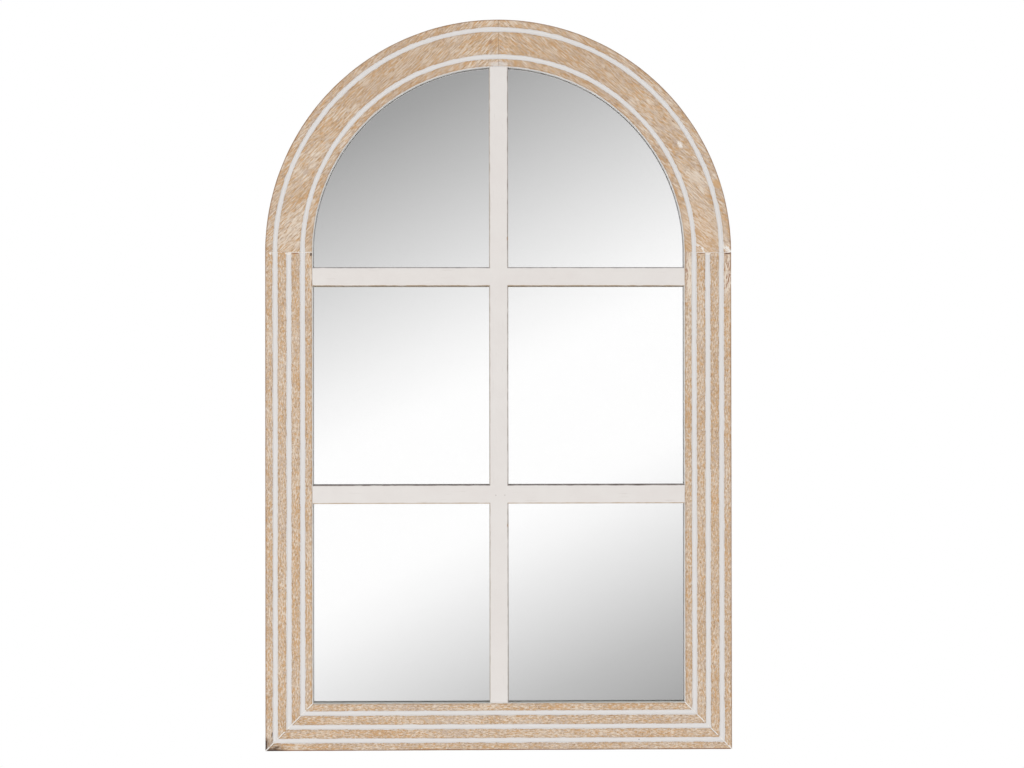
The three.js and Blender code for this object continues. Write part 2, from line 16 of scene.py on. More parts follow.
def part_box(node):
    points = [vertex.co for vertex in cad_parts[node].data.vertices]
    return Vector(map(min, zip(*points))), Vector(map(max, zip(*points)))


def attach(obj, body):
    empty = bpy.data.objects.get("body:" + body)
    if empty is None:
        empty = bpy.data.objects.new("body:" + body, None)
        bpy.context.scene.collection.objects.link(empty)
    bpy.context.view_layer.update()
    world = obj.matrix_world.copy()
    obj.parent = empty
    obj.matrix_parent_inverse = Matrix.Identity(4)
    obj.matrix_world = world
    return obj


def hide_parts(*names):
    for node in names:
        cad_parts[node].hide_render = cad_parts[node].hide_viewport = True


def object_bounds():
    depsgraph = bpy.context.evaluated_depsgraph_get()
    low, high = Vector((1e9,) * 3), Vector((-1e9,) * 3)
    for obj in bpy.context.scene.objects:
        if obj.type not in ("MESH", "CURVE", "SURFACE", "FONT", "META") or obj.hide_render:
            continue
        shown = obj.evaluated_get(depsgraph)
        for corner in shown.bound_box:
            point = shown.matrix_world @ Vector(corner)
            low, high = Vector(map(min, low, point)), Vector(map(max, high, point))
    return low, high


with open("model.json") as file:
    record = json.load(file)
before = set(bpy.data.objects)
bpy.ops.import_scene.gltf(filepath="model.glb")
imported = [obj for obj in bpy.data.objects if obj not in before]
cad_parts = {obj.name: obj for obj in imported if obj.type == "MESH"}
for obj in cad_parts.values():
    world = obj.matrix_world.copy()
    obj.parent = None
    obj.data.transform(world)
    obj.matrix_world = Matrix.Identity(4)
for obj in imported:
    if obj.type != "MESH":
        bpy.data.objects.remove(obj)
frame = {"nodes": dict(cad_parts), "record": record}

cad_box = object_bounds()

# %% [markdown]
# ## Sizes
# What can be read off the solids is read off them, so that the dressed pieces stay where the
# solids are. Only what is cut inside a solid, such as the place of its grooves, is written here.

# %% Read the main sizes
MM = 0.001
stile_low, stile_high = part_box("right_stile")
arch_low, arch_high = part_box("right_arch_quarter")
glass_low, glass_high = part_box("mirror_glass")
board_low, board_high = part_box("backing_board")
bar_low, bar_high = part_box("upright_bar")

HALF_WIDTH = stile_high.x
FRONT = stile_low.y
BOTTOM = stile_low.z
SPRING = arch_high.z - HALF_WIDTH
MEMBER = HALF_WIDTH - stile_low.x
OPENING = HALF_WIDTH - MEMBER
GROOVE_DEPTH = 2.2 * MM
GROOVE_LEAN = 1 * MM
GROOVE_CENTRES = (15 * MM, 35.5 * MM, 56 * MM)
LEDGE = glass_low.y - 0.3 * MM
BOARD_LEDGE = board_low.y - 0.3 * MM
THICK = MEMBER - 20 * MM
print("half width", round(HALF_WIDTH, 4), "member", round(MEMBER, 4), "spring line", round(SPRING, 4))

# %% [markdown]
# ## Camera
# The photograph was taken from about two metres, nearly square to the mirror and a hand's breadth
# above its middle height. The small turns and shifts below line the edges up with the photograph.

# %% Place the camera
scene = bpy.context.scene
CAMERA_PLACE = Vector((-0.02, -2.122, -0.1497))
CAMERA_PITCH = math.radians(0.226)
CAMERA_TURN = math.radians(0.751)
CAMERA_ROLL = math.radians(-0.073)

camera = bpy.data.objects.new("camera", bpy.data.cameras.new("camera"))
scene.collection.objects.link(camera)
camera.data.sensor_width = 36
camera.data.lens = 49.2
camera.data.shift_x = 0.00798
camera.data.shift_y = 0.00047
camera.data.clip_start = 0.1
camera.data.clip_end = 60
camera.matrix_world = (
    Matrix.Translation(CAMERA_PLACE)
    @ Matrix.Rotation(-CAMERA_TURN, 4, "Z")
    @ Matrix.Rotation(math.pi / 2 + CAMERA_PITCH, 4, "X")
    @ Matrix.Rotation(CAMERA_ROLL, 4, "Z")
)
scene.camera = camera
print("camera at", tuple(round(c, 3) for c in camera.location), "lens", camera.data.lens)

# %% [markdown]
# ## Shader arithmetic
# A finish is a small web of nodes. Written by hand each node takes several lines, so one class
# holds a socket and lets Python's own + - * / build the maths nodes. `Recipe.node` adds any other
# kind of node: first its settings, then the values or sockets that go in.

# %% A socket that can be reckoned with
class Wire:
    """A number that varies over a surface."""

    def __init__(self, recipe, socket):
        self.recipe = recipe
        self.socket = socket

    def _reckon(self, operation, first, second):
        settings = {"operation": operation}
        return self.recipe.node("ShaderNodeMath", settings, {0: first, 1: second})

    def __add__(self, other):
        return self._reckon("ADD", self, other)

    def __sub__(self, other):
        return self._reckon("SUBTRACT", self, other)

    def __rsub__(self, other):
        return self._reckon("SUBTRACT", other, self)

    def __mul__(self, other):
        return self._reckon("MULTIPLY", self, other)

    def __truediv__(self, other):
        return self._reckon("DIVIDE", self, other)

    def __pow__(self, other):
        return self._reckon("POWER", self, other)

    def __neg__(self):
        return self._reckon("MULTIPLY", self, -1.0)

    def __abs__(self):
        return self._reckon("ABSOLUTE", self, 0.0)

    __radd__ = __add__
    __rmul__ = __mul__


# %% A recipe that collects the nodes of one finish
class Recipe:
    """The node tree of one finish, and short names for the nodes that it uses most."""

    def __init__(self, tree):
        self.tree = tree
        tree.nodes.clear()

    def node(self, kind, settings=None, values=None, output=0):
        made = self.tree.nodes.new(kind)
        for name, setting in (settings or {}).items():
            if name == "stops":
                while len(made.color_ramp.elements) < len(setting):
                    made.color_ramp.elements.new(1.0)
                for element, (place, colour) in zip(made.color_ramp.elements, setting):
                    element.position = place
                    element.color = (*colour, 1.0)
            else:
                setattr(made, name, setting)
        for key, value in (values or {}).items():
            if isinstance(value, Wire):
                self.tree.links.new(value.socket, made.inputs[key])
            elif value is not None:
                made.inputs[key].default_value = value
        return Wire(self, made.outputs[output]) if made.outputs else made

    def place(self):
        return self.node("ShaderNodeTexCoord", output="Object")

    def axes(self, vector):
        split = self.node("ShaderNodeSeparateXYZ", None, {0: vector})
        outputs = split.socket.node.outputs
        return [Wire(self, outputs[i]) for i in range(3)]

    def larger(self, first, second):
        return self.node("ShaderNodeMath", {"operation": "MAXIMUM"}, {0: first, 1: second})

    def smaller(self, first, second):
        return self.node("ShaderNodeMath", {"operation": "MINIMUM"}, {0: first, 1: second})

    def stretch(self, vector, scale, turn=0.0, shift=(0.0, 0.0, 0.0)):
        """vector turned about the Y axis by turn, then scaled along each axis."""
        turned = self.node(
            "ShaderNodeMapping",
            {"vector_type": "POINT"},
            {"Vector": vector, "Location": shift, "Rotation": (0.0, turn, 0.0)},
        )
        return self.node(
            "ShaderNodeMapping", {"vector_type": "POINT"}, {"Vector": turned, "Scale": scale}
        )

    def cloud(self, vector, scale=1.0, detail=2.0, roughness=0.5, distortion=0.0):
        """Soft noise from 0 to 1, about 0.5 on average."""
        values = {"Vector": vector, "Scale": scale, "Detail": detail}
        values |= {"Roughness": roughness, "Distortion": distortion}
        return self.node("ShaderNodeTexNoise", {"noise_dimensions": "3D"}, values)

    def ramp(self, value, low, high, from_zero=0.0, to_one=1.0):
        """value brought smoothly from low..high to 0..1."""
        settings = {"interpolation_type": "SMOOTHSTEP", "clamp": True}
        return self.node(
            "ShaderNodeMapRange", settings, {0: value, 1: low, 2: high, 3: from_zero, 4: to_one}
        )

    def blend(self, share, first, second, how="MIX"):
        """Colour second over colour first, by share."""
        settings = {"data_type": "RGBA", "blend_type": how, "clamp_factor": True}
        return self.node("ShaderNodeMix", settings, {0: share, 6: first, 7: second}, output=2)

    def tones(self, value, stops):
        return self.node("ShaderNodeValToRGB", {"stops": stops}, {0: value})

    def bump(self, height, distance, strength=1.0):
        values = {"Height": height, "Distance": distance, "Strength": strength}
        return self.node("ShaderNodeBump", None, values)


def linear(red, green, blue):
    """A colour as a paint chart gives it, 0 to 255, turned into the linear numbers of a shader."""
    def one(value):
        value /= 255
        return value / 12.92 if value <= 0.04045 else ((value + 0.055) / 1.055) ** 2.4

    return (one(red), one(green), one(blue))


def solid(colour):
    return (*colour, 1.0)


print("recipe helpers are ready")

# %% [markdown]
# ## Finishes
# Every finish ends in one Principled surface. Numbers that are the same all over are written on
# its sockets, and what varies is linked into them.

# %% Start and finish a surface
def start_finish(name):
    material = bpy.data.materials.new(name)
    material.use_nodes = True
    return material, Recipe(material.node_tree)


def end_finish(recipe, values):
    surface = recipe.node("ShaderNodeBsdfPrincipled", None, values)
    recipe.node("ShaderNodeOutputMaterial", None, {"Surface": surface})


# %% [markdown]
# ### Limed wood
# The frame is pale open-grained hardwood. White lime was rubbed into it and wiped off again, so it
# stays in the pores and in the blotches of softer wood. The grain is noise that is stretched
# along each board: one noise for fibres, one for pores, one for growth rings and one for blotches.
# Thick white paint fills the grooves, and its edge wanders a little on each side.

# %% Colours of the wood
LIME = linear(231, 217, 201)
PALE_WOOD = linear(216, 193, 168)
WOOD = linear(203, 176, 147)
DEEP_WOOD = linear(180, 147, 114)
BROWN = linear(132, 94, 66)
ORANGE_WOOD = linear(205, 160, 112)
ASH_WOOD = linear(196, 178, 166)
GROOVE_PAINT = linear(229, 226, 224)
REVEAL_PAINT = linear(246, 245, 243)
# A darker grey copy of the reveal paint for the rail's upward-facing reveal: painted shade.
RAIL_REVEAL_PAINTED_SHADE = linear(222, 223, 218)
FILLER = linear(242, 237, 231)
RAW_WOOD = linear(192, 156, 118)
RAW_WOOD_DARK = linear(166, 126, 88)


# %% The grain, in the direction of a board
def wood_grain(recipe, place, turn, seed, sawn_wide):
    """Returns the wood's colour and its height. The grain runs along X after the turn."""
    shift = (seed * 1.7, seed * 0.9, seed * 2.3)
    waver = recipe.cloud(recipe.stretch(place, (9, 9, 22), turn, shift), detail=1.0) - 0.5
    x, y, z = recipe.axes(recipe.stretch(place, (1, 1, 1), turn, shift))
    bent = recipe.node(
        "ShaderNodeCombineXYZ", None, {0: x, 1: y, 2: z + waver * (8 * MM)}
    )
    short = 1.3 if sawn_wide else 2.3
    fine = 760 if sawn_wide else 600
    streak = recipe.cloud(recipe.stretch(bent, (34, fine, fine)), detail=2.0, roughness=0.6)
    fibre = recipe.cloud(recipe.stretch(bent, (95 * short, fine, fine)), detail=2.0, roughness=0.6)
    hair = recipe.cloud(recipe.stretch(bent, (300 * short, 1150, 1150)), detail=2.0)
    rings = recipe.cloud(recipe.stretch(bent, (5, 85, 85)), detail=2.0, distortion=0.4)
    blotch = recipe.cloud(recipe.stretch(bent, (24, 60, 60), shift=(7, 0, 1)), detail=2.0)
    region = recipe.cloud(recipe.stretch(bent, (5, 9, 9), shift=(2, 0, 4)), detail=1.0)
    tone = (
        (streak - 0.5) * 0.6 + (fibre - 0.5) * 1.5 + (hair - 0.5) * 1.5 + (rings - 0.5) * 0.3
        + (blotch - 0.5) * 0.2 + (region - 0.5) * 0.25 + (0.4 if sawn_wide else 0.43)
    )
    colour = recipe.tones(
        tone, [(0.05, DEEP_WOOD), (0.46, WOOD), (0.7, PALE_WOOD), (0.95, LIME)]
    )
    hue = recipe.cloud(recipe.stretch(bent, (90 * short, 420, 420), shift=(1, 0, 9)), detail=2.0)
    drift = recipe.cloud(recipe.stretch(bent, (14, 60, 60), shift=(5, 0, 3)), detail=1.0)
    warmth = hue + (drift - 0.5) * 0.4
    colour = recipe.blend(recipe.ramp(warmth, 0.5, 0.68) * 0.75, colour, solid(ORANGE_WOOD))
    colour = recipe.blend(recipe.ramp(warmth, 0.49, 0.32) * 0.6, colour, solid(ASH_WOOD))

    lines = (55, 820, 820) if sawn_wide else (160, 640, 640)
    pores = recipe.cloud(recipe.stretch(bent, lines, shift=(3.1, 0, 5.2)), detail=1.5)
    limed = recipe.ramp(pores + (blotch - 0.5) * 0.3, 0.53, 0.6)
    colour = recipe.blend(limed * (0.8 if sawn_wide else 0.75), colour, solid(LIME))
    cracks = recipe.ramp(fibre * 0.55 + hair * 0.45, 0.44, 0.32)
    colour = recipe.blend(cracks * 0.6, colour, solid(BROWN))
    height = (fibre - 0.5) * 0.6 + (hair - 0.5) * 0.4 + limed * 0.25
    planed = recipe.cloud(recipe.stretch(bent, (9, 240, 240), shift=(7, 0, 1)), detail=4.0)
    return colour, height, planed


# %% Paint in the grooves
def groove_paint(recipe, place, inset, centres, half_width):
    """How much paint covers the wood, with edges that wander, and a mask for a darker brown line on the wood
    beside it.
    """
    inside = None
    for centre in centres:
        reach = half_width - abs(inset - centre)
        inside = reach if inside is None else recipe.larger(inside, reach)
    wander = (recipe.cloud(place, 70, 2.0) - 0.5) * (2.2 * MM)
    fray = (recipe.cloud(place, 480, 2.0) - 0.5) * (1.6 * MM)
    reach = inside + wander + fray
    painted = recipe.ramp(reach, -0.35 * MM, 0.1 * MM)
    return painted, recipe.ramp(abs(reach + 0.9 * MM), 1.1 * MM, 0.2 * MM)


# %% [markdown]
# Each member gets its own copy of the finish, because its boards run in its own direction and its
# joints lie elsewhere. A mask is a number from 0 to 1 that says where something shows. A line mask
# follows a straight joint, and a patch mask is a soft, ragged ellipse.

# %% Masks for joints and local marks
def line_mask(recipe, place, point, along_degrees, half_width, ragged=0.35 * MM, gaps=0.0):
    """1 on a straight line through point, seen from the front. gaps is how much of it is missing."""
    x, _, z = recipe.axes(place)
    angle = math.radians(along_degrees)
    away = (x - point[0]) * -math.sin(angle) + (z - point[1]) * math.cos(angle)
    wander = (recipe.cloud(place, 320, 2.0) - 0.5) * (2 * ragged)
    line = recipe.ramp(abs(away + wander), half_width * 1.35, half_width * 0.65)
    if gaps:
        line = line * recipe.ramp(recipe.cloud(place, 110, 1.0), 0.3 + gaps * 0.4, 0.4 + gaps * 0.4)
    return line


def patch_mask(recipe, place, centre, size, along_degrees=0.0, ragged=0.5, core=0.75):
    """1 inside an ellipse of that half length and half width. A small core fades softly."""
    x, _, z = recipe.axes(place)
    angle = math.radians(along_degrees)
    x, z = x - centre[0], z - centre[1]
    along = (x * math.cos(angle) + z * math.sin(angle)) / size[0]
    across = (z * math.cos(angle) - x * math.sin(angle)) / size[1]
    away = (along * along + across * across) ** 0.5
    rough = (recipe.cloud(place, 520, 3.0) - 0.5) * ragged
    return recipe.ramp(away + rough, 1.1, core)


def limed_patch(recipe, place, centre, size, along_degrees, turn, share=0.5):
    """Lime that stayed in the grain of one spot, in streaks along the grain."""
    streaks = recipe.cloud(recipe.stretch(place, (130, 560, 560), turn, (0.3, 0, 0.7)), detail=2.0)
    held = recipe.ramp(streaks, 0.62 - share * 0.3, 0.68 - share * 0.3)
    return patch_mask(recipe, place, centre, size, along_degrees, ragged=1.2, core=0.5) * held


def corner_stain(recipe, place, upright):
    """A dark stain that creeps from the bottom left corner along the outer edge of a member."""
    x, _, z = recipe.axes(place)
    from_left, from_foot = x + HALF_WIDTH, z - BOTTOM
    along, inset = (from_foot, from_left) if upright else (from_left, from_foot)
    rough = recipe.cloud(place, 150, 3.0) - 0.5
    reach = recipe.ramp(along + rough * (18 * MM), (27 if upright else 40) * MM, 11 * MM)
    edge = recipe.ramp(inset + rough * (3 * MM), (5 if upright else 8) * MM, 0.8 * MM)
    return reach * (edge * 0.75 + 0.3) * recipe.ramp(inset, 11.4 * MM, 10.6 * MM)


print("masks are ready")

# %% The finish of one frame member
ARCH_GROOVES = (GROOVE_CENTRES[0], GROOVE_CENTRES[2])


def limed_wood(name, shape, turn, seed, groove_half, marks=()):
    """shape is 'stile', 'rail' or 'arch'. marks are (mask maker, colour, strength, over paint)."""
    material, recipe = start_finish(name)
    place = recipe.place()
    x, y, z = recipe.axes(place)
    if shape == "rail":
        inset = z - BOTTOM
    elif shape == "stile":
        inset = HALF_WIDTH - abs(x)
    else:
        rise = z - SPRING
        inset = HALF_WIDTH - (x * x + rise * rise) ** 0.5
    colour, height, planed = wood_grain(recipe, place, turn, seed, shape == "arch")

    worn = recipe.cloud(place, 60, 2.0)
    wander = (worn - 0.5) * (1.5 * MM)
    rim = recipe.ramp(inset + wander, 2.4 * MM, 1.1 * MM)
    colour = recipe.blend(rim * (0.95 if shape == "rail" else 0.6), colour, solid(BROWN))
    lip = recipe.ramp(abs(inset - (MEMBER - 1.8 * MM) + wander), 1.1 * MM, 0.3 * MM)
    colour = recipe.blend(lip * 0.3, colour, solid(BROWN))
    bare = recipe.ramp(y + wander, -3 * MM, -1.5 * MM)
    bare = recipe.larger(bare, recipe.ramp(y, LEDGE - 0.2 * MM, LEDGE) * recipe.ramp(
        inset, THICK - 1 * MM, THICK))
    raw_tones = [(0.3, RAW_WOOD_DARK), (0.5, RAW_WOOD), (0.72, PALE_WOOD)]
    raw = recipe.tones(planed + (height - 0.1) * 0.25, raw_tones)
    colour = recipe.blend(bare * 0.85, colour, raw)

    on_front = recipe.ramp(y, -9 * MM, -14 * MM)
    off_back = recipe.ramp(y, -3 * MM, -8 * MM)
    centres = ARCH_GROOVES if shape == "arch" else GROOVE_CENTRES
    painted, arris = groove_paint(recipe, place, inset, centres, groove_half)
    painted = painted * on_front
    colour = recipe.blend(arris * on_front * worn * 0.4, colour, solid(BROWN))
    reveal = recipe.ramp(inset + wander * 0.5, MEMBER - 1.0 * MM, MEMBER - 0.4 * MM)
    reveal = reveal * recipe.ramp(y, LEDGE + 0.2 * MM, LEDGE)
    for make_mask, tint, strength, over_paint in marks:
        if not over_paint:
            colour = recipe.blend(make_mask(recipe, place) * off_back * strength, colour, solid(tint))
    # The rail's reveal gets the darker grey copy of the reveal paint: painted shade.
    reveal_paint_with_rail_shade = RAIL_REVEAL_PAINTED_SHADE if shape == "rail" else REVEAL_PAINT
    colour = recipe.blend(reveal * 0.95, colour, solid(reveal_paint_with_rail_shade))
    colour = recipe.blend(painted, colour, solid(GROOVE_PAINT))
    for make_mask, tint, strength, over_paint in marks:
        if over_paint:
            colour = recipe.blend(make_mask(recipe, place) * off_back * strength, colour, solid(tint))

    rough = 0.82 - painted * 0.2 + (worn - 0.5) * 0.1
    daubs = recipe.cloud(place, 230, 2.0)
    relief = height * (1 - painted) * 0.16 + painted * 0.12 + painted * daubs * 0.1
    end_finish(recipe, {
        "Base Color": colour,
        "Roughness": rough,
        "Normal": recipe.bump(relief, 1 * MM),
        "Specular IOR Level": 0.35,
    })
    return material


# %% [markdown]
# ## Wooden members
# A joiner runs one moulding and cuts all members from it, and so does this script: the section is
# one flat face whose corners are rounded, then it is extruded for the straight members and spun
# for the arch. Cutting the mitres with a plane leaves clean ends that are closed again.

# %% Rounded sections
def rounded_face(bm, corners):
    """A flat face in the XY plane from (x, y, rounding) corners."""
    verts = [bm.verts.new((x, y, 0.0)) for x, y, _ in corners]
    bm.faces.new(verts)
    by_radius = {}
    for vert, (_, _, radius) in zip(verts, corners):
        if radius:
            by_radius.setdefault(radius, []).append(vert)
    for radius, group in by_radius.items():
        bmesh.ops.bevel(
            bm, geom=group, offset=radius, offset_type="OFFSET", segments=3,
            profile=0.5, affect="VERTICES", material=-1,
        )
    return bm.faces[:]


def member_section(centres, half_top):
    """The moulding: x runs inwards from the outer edge and y from the front to the wall."""
    floor = FRONT + GROOVE_DEPTH
    half_floor = half_top - GROOVE_LEAN
    corners = [(0, 0, 0.6 * MM), (0, FRONT, 1.3 * MM)]
    for centre in centres:
        corners += [
            (centre - half_top, FRONT, 0.45 * MM),
            (centre - half_floor, floor, 0.7 * MM),
            (centre + half_floor, floor, 0.7 * MM),
            (centre + half_top, FRONT, 0.45 * MM),
        ]
    corners += [
        (MEMBER - 0.3 * MM, FRONT, 1.2 * MM),
        (MEMBER + 0.5 * MM, LEDGE, 0.3 * MM),
        (MEMBER - 8 * MM, LEDGE, 0),
        (MEMBER - 8 * MM, BOARD_LEDGE, 0),
        (THICK, BOARD_LEDGE, 0),
        (THICK, 0, 0.6 * MM),
    ]
    return corners


print("a straight section has", len(member_section(GROOVE_CENTRES, 3.8 * MM)), "corners")


# %% Extrude, cut and close
def extruded_length(corners, length, steps):
    """The section as a closed bar along Z, cut into steps."""
    bm = bmesh.new()
    faces = rounded_face(bm, corners)
    moved = bmesh.ops.extrude_face_region(bm, geom=faces)["geom"]
    bmesh.ops.translate(
        bm, verts=[g for g in moved if isinstance(g, bmesh.types.BMVert)], vec=(0, 0, length)
    )
    lengthwise = [e for e in bm.edges if abs(e.verts[0].co.z - e.verts[1].co.z) > length / 2]
    bmesh.ops.subdivide_edges(bm, edges=lengthwise, cuts=steps - 1)
    bmesh.ops.recalc_face_normals(bm, faces=bm.faces)
    return bm


def cut_away(bm, point, outwards):
    """Removes what lies beyond a plane and closes the cut."""
    cut = bmesh.ops.bisect_plane(
        bm, geom=bm.verts[:] + bm.edges[:] + bm.faces[:], dist=1e-7,
        plane_co=point, plane_no=outwards, clear_outer=True,
    )["geom_cut"]
    edges = [g for g in cut if isinstance(g, bmesh.types.BMEdge)]
    bmesh.ops.holes_fill(bm, edges=edges, sides=0)


def steady_wander(place):
    """Smooth vector noise that depends on the place alone, so that each run gives the same mesh."""
    return Vector([noise.noise(place + Vector((0, 0, shift))) for shift in (0.0, 40.3, 80.7)])


def hand_made(bm, amount, scale, fixed=None):
    """Moves each vertex a little, as hand tools do. Only across the piece, never along -Y joints."""
    for vert in bm.verts:
        if fixed and fixed(vert.co):
            continue
        wander = steady_wander(vert.co * scale)
        vert.co += Vector((wander.x, wander.y * 0.4, wander.z)) * amount


# %% Turn a bmesh into a piece that rides and replaces
def finish_piece(name, bm, material, slot, *nodes, body="frame", crease=32.0):
    """Keeps the mesh inside the box of the solids and makes it a piece."""
    for vert in bm.verts:
        for axis, (low, high) in enumerate(zip(*cad_box)):
            vert.co[axis] = min(max(vert.co[axis], low), high)
    bmesh.ops.remove_doubles(bm, verts=bm.verts, dist=1e-6)
    mesh = bpy.data.meshes.new(name)
    bm.to_mesh(mesh)
    bm.free()
    mesh.shade_smooth()
    mesh.set_sharp_from_angle(angle=math.radians(crease))
    mesh.materials.append(material)
    piece = bpy.data.objects.new(name, mesh)
    scene.collection.objects.link(piece)
    weighted = piece.modifiers.new("even shading", "WEIGHTED_NORMAL")
    weighted.keep_sharp = True
    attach(piece, body)
    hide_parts(*nodes)
    print(f"{name}: {len(mesh.polygons)} faces")
    return piece


# %% [markdown]
# The stiles stand on their mitres and end at the spring line. The left one is made, and the right
# one is the same bar turned over, with its own grain.

# %% Marks on the stiles
LEFT_CORNER = (-HALF_WIDTH, BOTTOM)
RIGHT_CORNER = (HALF_WIDTH, BOTTOM)


def along(mask, *values, **named):
    return lambda recipe, place: mask(recipe, place, *values, **named)


UPRIGHT_GRAIN = math.pi / 2
LEFT_ARCH_GRAIN = math.radians(44)
RIGHT_ARCH_GRAIN = math.radians(-40)


def mitre_marks(corner, degrees):
    """White filler in a bottom mitre, with a dark line of shadow beside it."""
    shadow = (corner[0], corner[1] - 1.1 * MM)
    return [
        (along(line_mask, shadow, degrees, 0.8 * MM, gaps=0.3), BROWN, 0.75, False),
        (along(line_mask, corner, degrees, 0.85 * MM, gaps=0.05), FILLER, 0.95, True),
    ]


def spring_line(low, high, height, half_width, tint, strength, over_paint=True):
    """A short mark on the joint between a stile and the arch, from x = low to x = high."""
    centre, size = ((low + high) / 2, SPRING + height), ((high - low) / 2, half_width)
    return (along(patch_mask, centre, size, 0, ragged=0.7), tint, strength, over_paint)


spring_marks = [
    (along(line_mask, (0, SPRING), 0, 0.5 * MM, ragged=0.7 * MM, gaps=0.35), FILLER, 0.8, True),
]
DARK_STAIN = linear(62, 44, 38)
RED_BROWN = linear(150, 100, 72)
left_stile_marks = mitre_marks(LEFT_CORNER, 45) + spring_marks + [
    (along(corner_stain, True), DARK_STAIN, 0.9, False),
    (along(patch_mask, (-0.3398, -0.6655), (4.5 * MM, 0.9 * MM), 85), DARK_STAIN, 0.9, False),
    spring_line(-0.2830, -0.2795, -3 * MM, 3 * MM, DARK_STAIN, 0.8, False),
    spring_line(-0.3100, -0.2990, -1.6 * MM, 0.8 * MM, RED_BROWN, 0.8, False),
    spring_line(-0.3200, -0.3105, -1.6 * MM, 2.2 * MM, FILLER, 0.95),
    spring_line(-0.3440, -0.3400, -1.8 * MM, 1.8 * MM, FILLER, 0.8),
    spring_line(-0.2990, -0.2800, 0.2 * MM, 0.9 * MM, FILLER, 0.8),
    (along(limed_patch, (-0.2815, 0.020), (30 * MM, 2.4 * MM), 90, UPRIGHT_GRAIN, 0.7), LIME, 0.7, False),
]
right_stile_marks = mitre_marks(RIGHT_CORNER, 135) + spring_marks + [
    (along(patch_mask, (0.3360, -0.6590), (2.0 * MM, 1.5 * MM), 60), DARK_STAIN, 0.8, False),
    (along(limed_patch, (0.2870, 0.0230), (42 * MM, 6 * MM), 90, UPRIGHT_GRAIN, 0.85), LIME, 0.9, False),
    (along(limed_patch, (0.3440, 0.0230), (40 * MM, 7 * MM), 90, UPRIGHT_GRAIN, 0.6), LIME, 0.9, False),
    (along(limed_patch, (0.3440, 0.0260), (36 * MM, 7 * MM), 90, 1.45, 0.35), RED_BROWN, 0.8, False),
    (along(limed_patch, (0.2830, 0.0260), (34 * MM, 2 * MM), 90, 1.5, 0.4), RED_BROWN, 0.7, False),
    spring_line(0.3390, 0.3500, -1.9 * MM, 1.0 * MM, linear(96, 62, 44), 0.9, False),
    spring_line(0.3000, 0.3100, -1.7 * MM, 0.8 * MM, BROWN, 0.8, False),
    spring_line(0.3105, 0.3195, -1.6 * MM, 2.0 * MM, FILLER, 0.95),
    spring_line(0.2990, 0.3380, 0.2 * MM, 0.9 * MM, FILLER, 0.7),
]

# %% Cut both stiles
STILE_GROOVE_HALF = 3.8 * MM
STEP = 8 * MM
JOINT = 0.03 * MM


def stile(side):
    foot = BOTTOM - 10 * MM
    top = SPRING - JOINT
    bm = extruded_length(
        member_section(GROOVE_CENTRES, STILE_GROOVE_HALF), top - foot, round((top - foot) / STEP)
    )
    bmesh.ops.transform(
        bm, verts=bm.verts, matrix=Matrix.Translation((-HALF_WIDTH, 0, foot))
    )
    corner = Vector((-HALF_WIDTH, 0, BOTTOM))
    cut_away(bm, corner + Vector((-JOINT, 0, JOINT)), Vector((1, 0, -1)).normalized())
    hand_made(bm, 0.16 * MM, 45, fixed=lambda co: co.y > FRONT + 4 * MM)
    if side > 0:
        bmesh.ops.scale(bm, verts=bm.verts, vec=(-1, 1, 1))
        bmesh.ops.reverse_faces(bm, faces=bm.faces)
    return bm


finish_piece(
    "left_stile_wood", stile(-1),
    limed_wood("limed left stile", "stile", UPRIGHT_GRAIN, 1, STILE_GROOVE_HALF, left_stile_marks),
    "limed_wood", "left_stile",
)
finish_piece(
    "right_stile_wood", stile(1),
    limed_wood("limed right stile", "stile", UPRIGHT_GRAIN, 2, STILE_GROOVE_HALF, right_stile_marks),
    "limed_wood", "right_stile",
)

# %% Cut the bottom rail
RAIL_GROOVE_HALF = 3.45 * MM
rail_marks = mitre_marks(LEFT_CORNER, 45) + mitre_marks(RIGHT_CORNER, 135) + [
    (along(corner_stain, False), DARK_STAIN, 0.9, False),
    (along(patch_mask, (-0.3325, -0.6838), (7 * MM, 2.2 * MM), 15, core=0.2), DARK_STAIN, 0.7, False),
    (along(patch_mask, (0.2100, -0.6750), (1.1 * MM, 0.9 * MM), 0), linear(90, 70, 55), 0.6, True),
]


def bottom_rail():
    length = 2 * HALF_WIDTH + 20 * MM
    bm = extruded_length(
        member_section(GROOVE_CENTRES, RAIL_GROOVE_HALF), length, round(length / STEP)
    )
    lay_down = Matrix(((0, 0, -1, length / 2), (0, 1, 0, 0), (1, 0, 0, BOTTOM), (0, 0, 0, 1)))
    bmesh.ops.transform(bm, verts=bm.verts, matrix=lay_down)
    for side in (-1, 1):
        corner = Vector((side * (HALF_WIDTH - JOINT), 0, BOTTOM - JOINT))
        cut_away(bm, corner, Vector((side, 0, 1)).normalized())
    hand_made(bm, 0.16 * MM, 45, fixed=lambda co: co.y > FRONT + 4 * MM)
    return bm


finish_piece(
    "bottom_rail_wood", bottom_rail(),
    limed_wood("limed rail", "rail", 0.0, 3, RAIL_GROOVE_HALF, rail_marks),
    "limed_wood", "bottom_rail",
)

# %% [markdown]
# The arch is sawn from two wide boards, so its grain doesn't follow the curve: on the left it
# rises to the right, and on the right it falls. Both quarters are spun from the same section.

# %% Spin the two quarters of the arch
ARCH_GROOVE_HALF = 3.35 * MM
ARCH_STEPS = 72


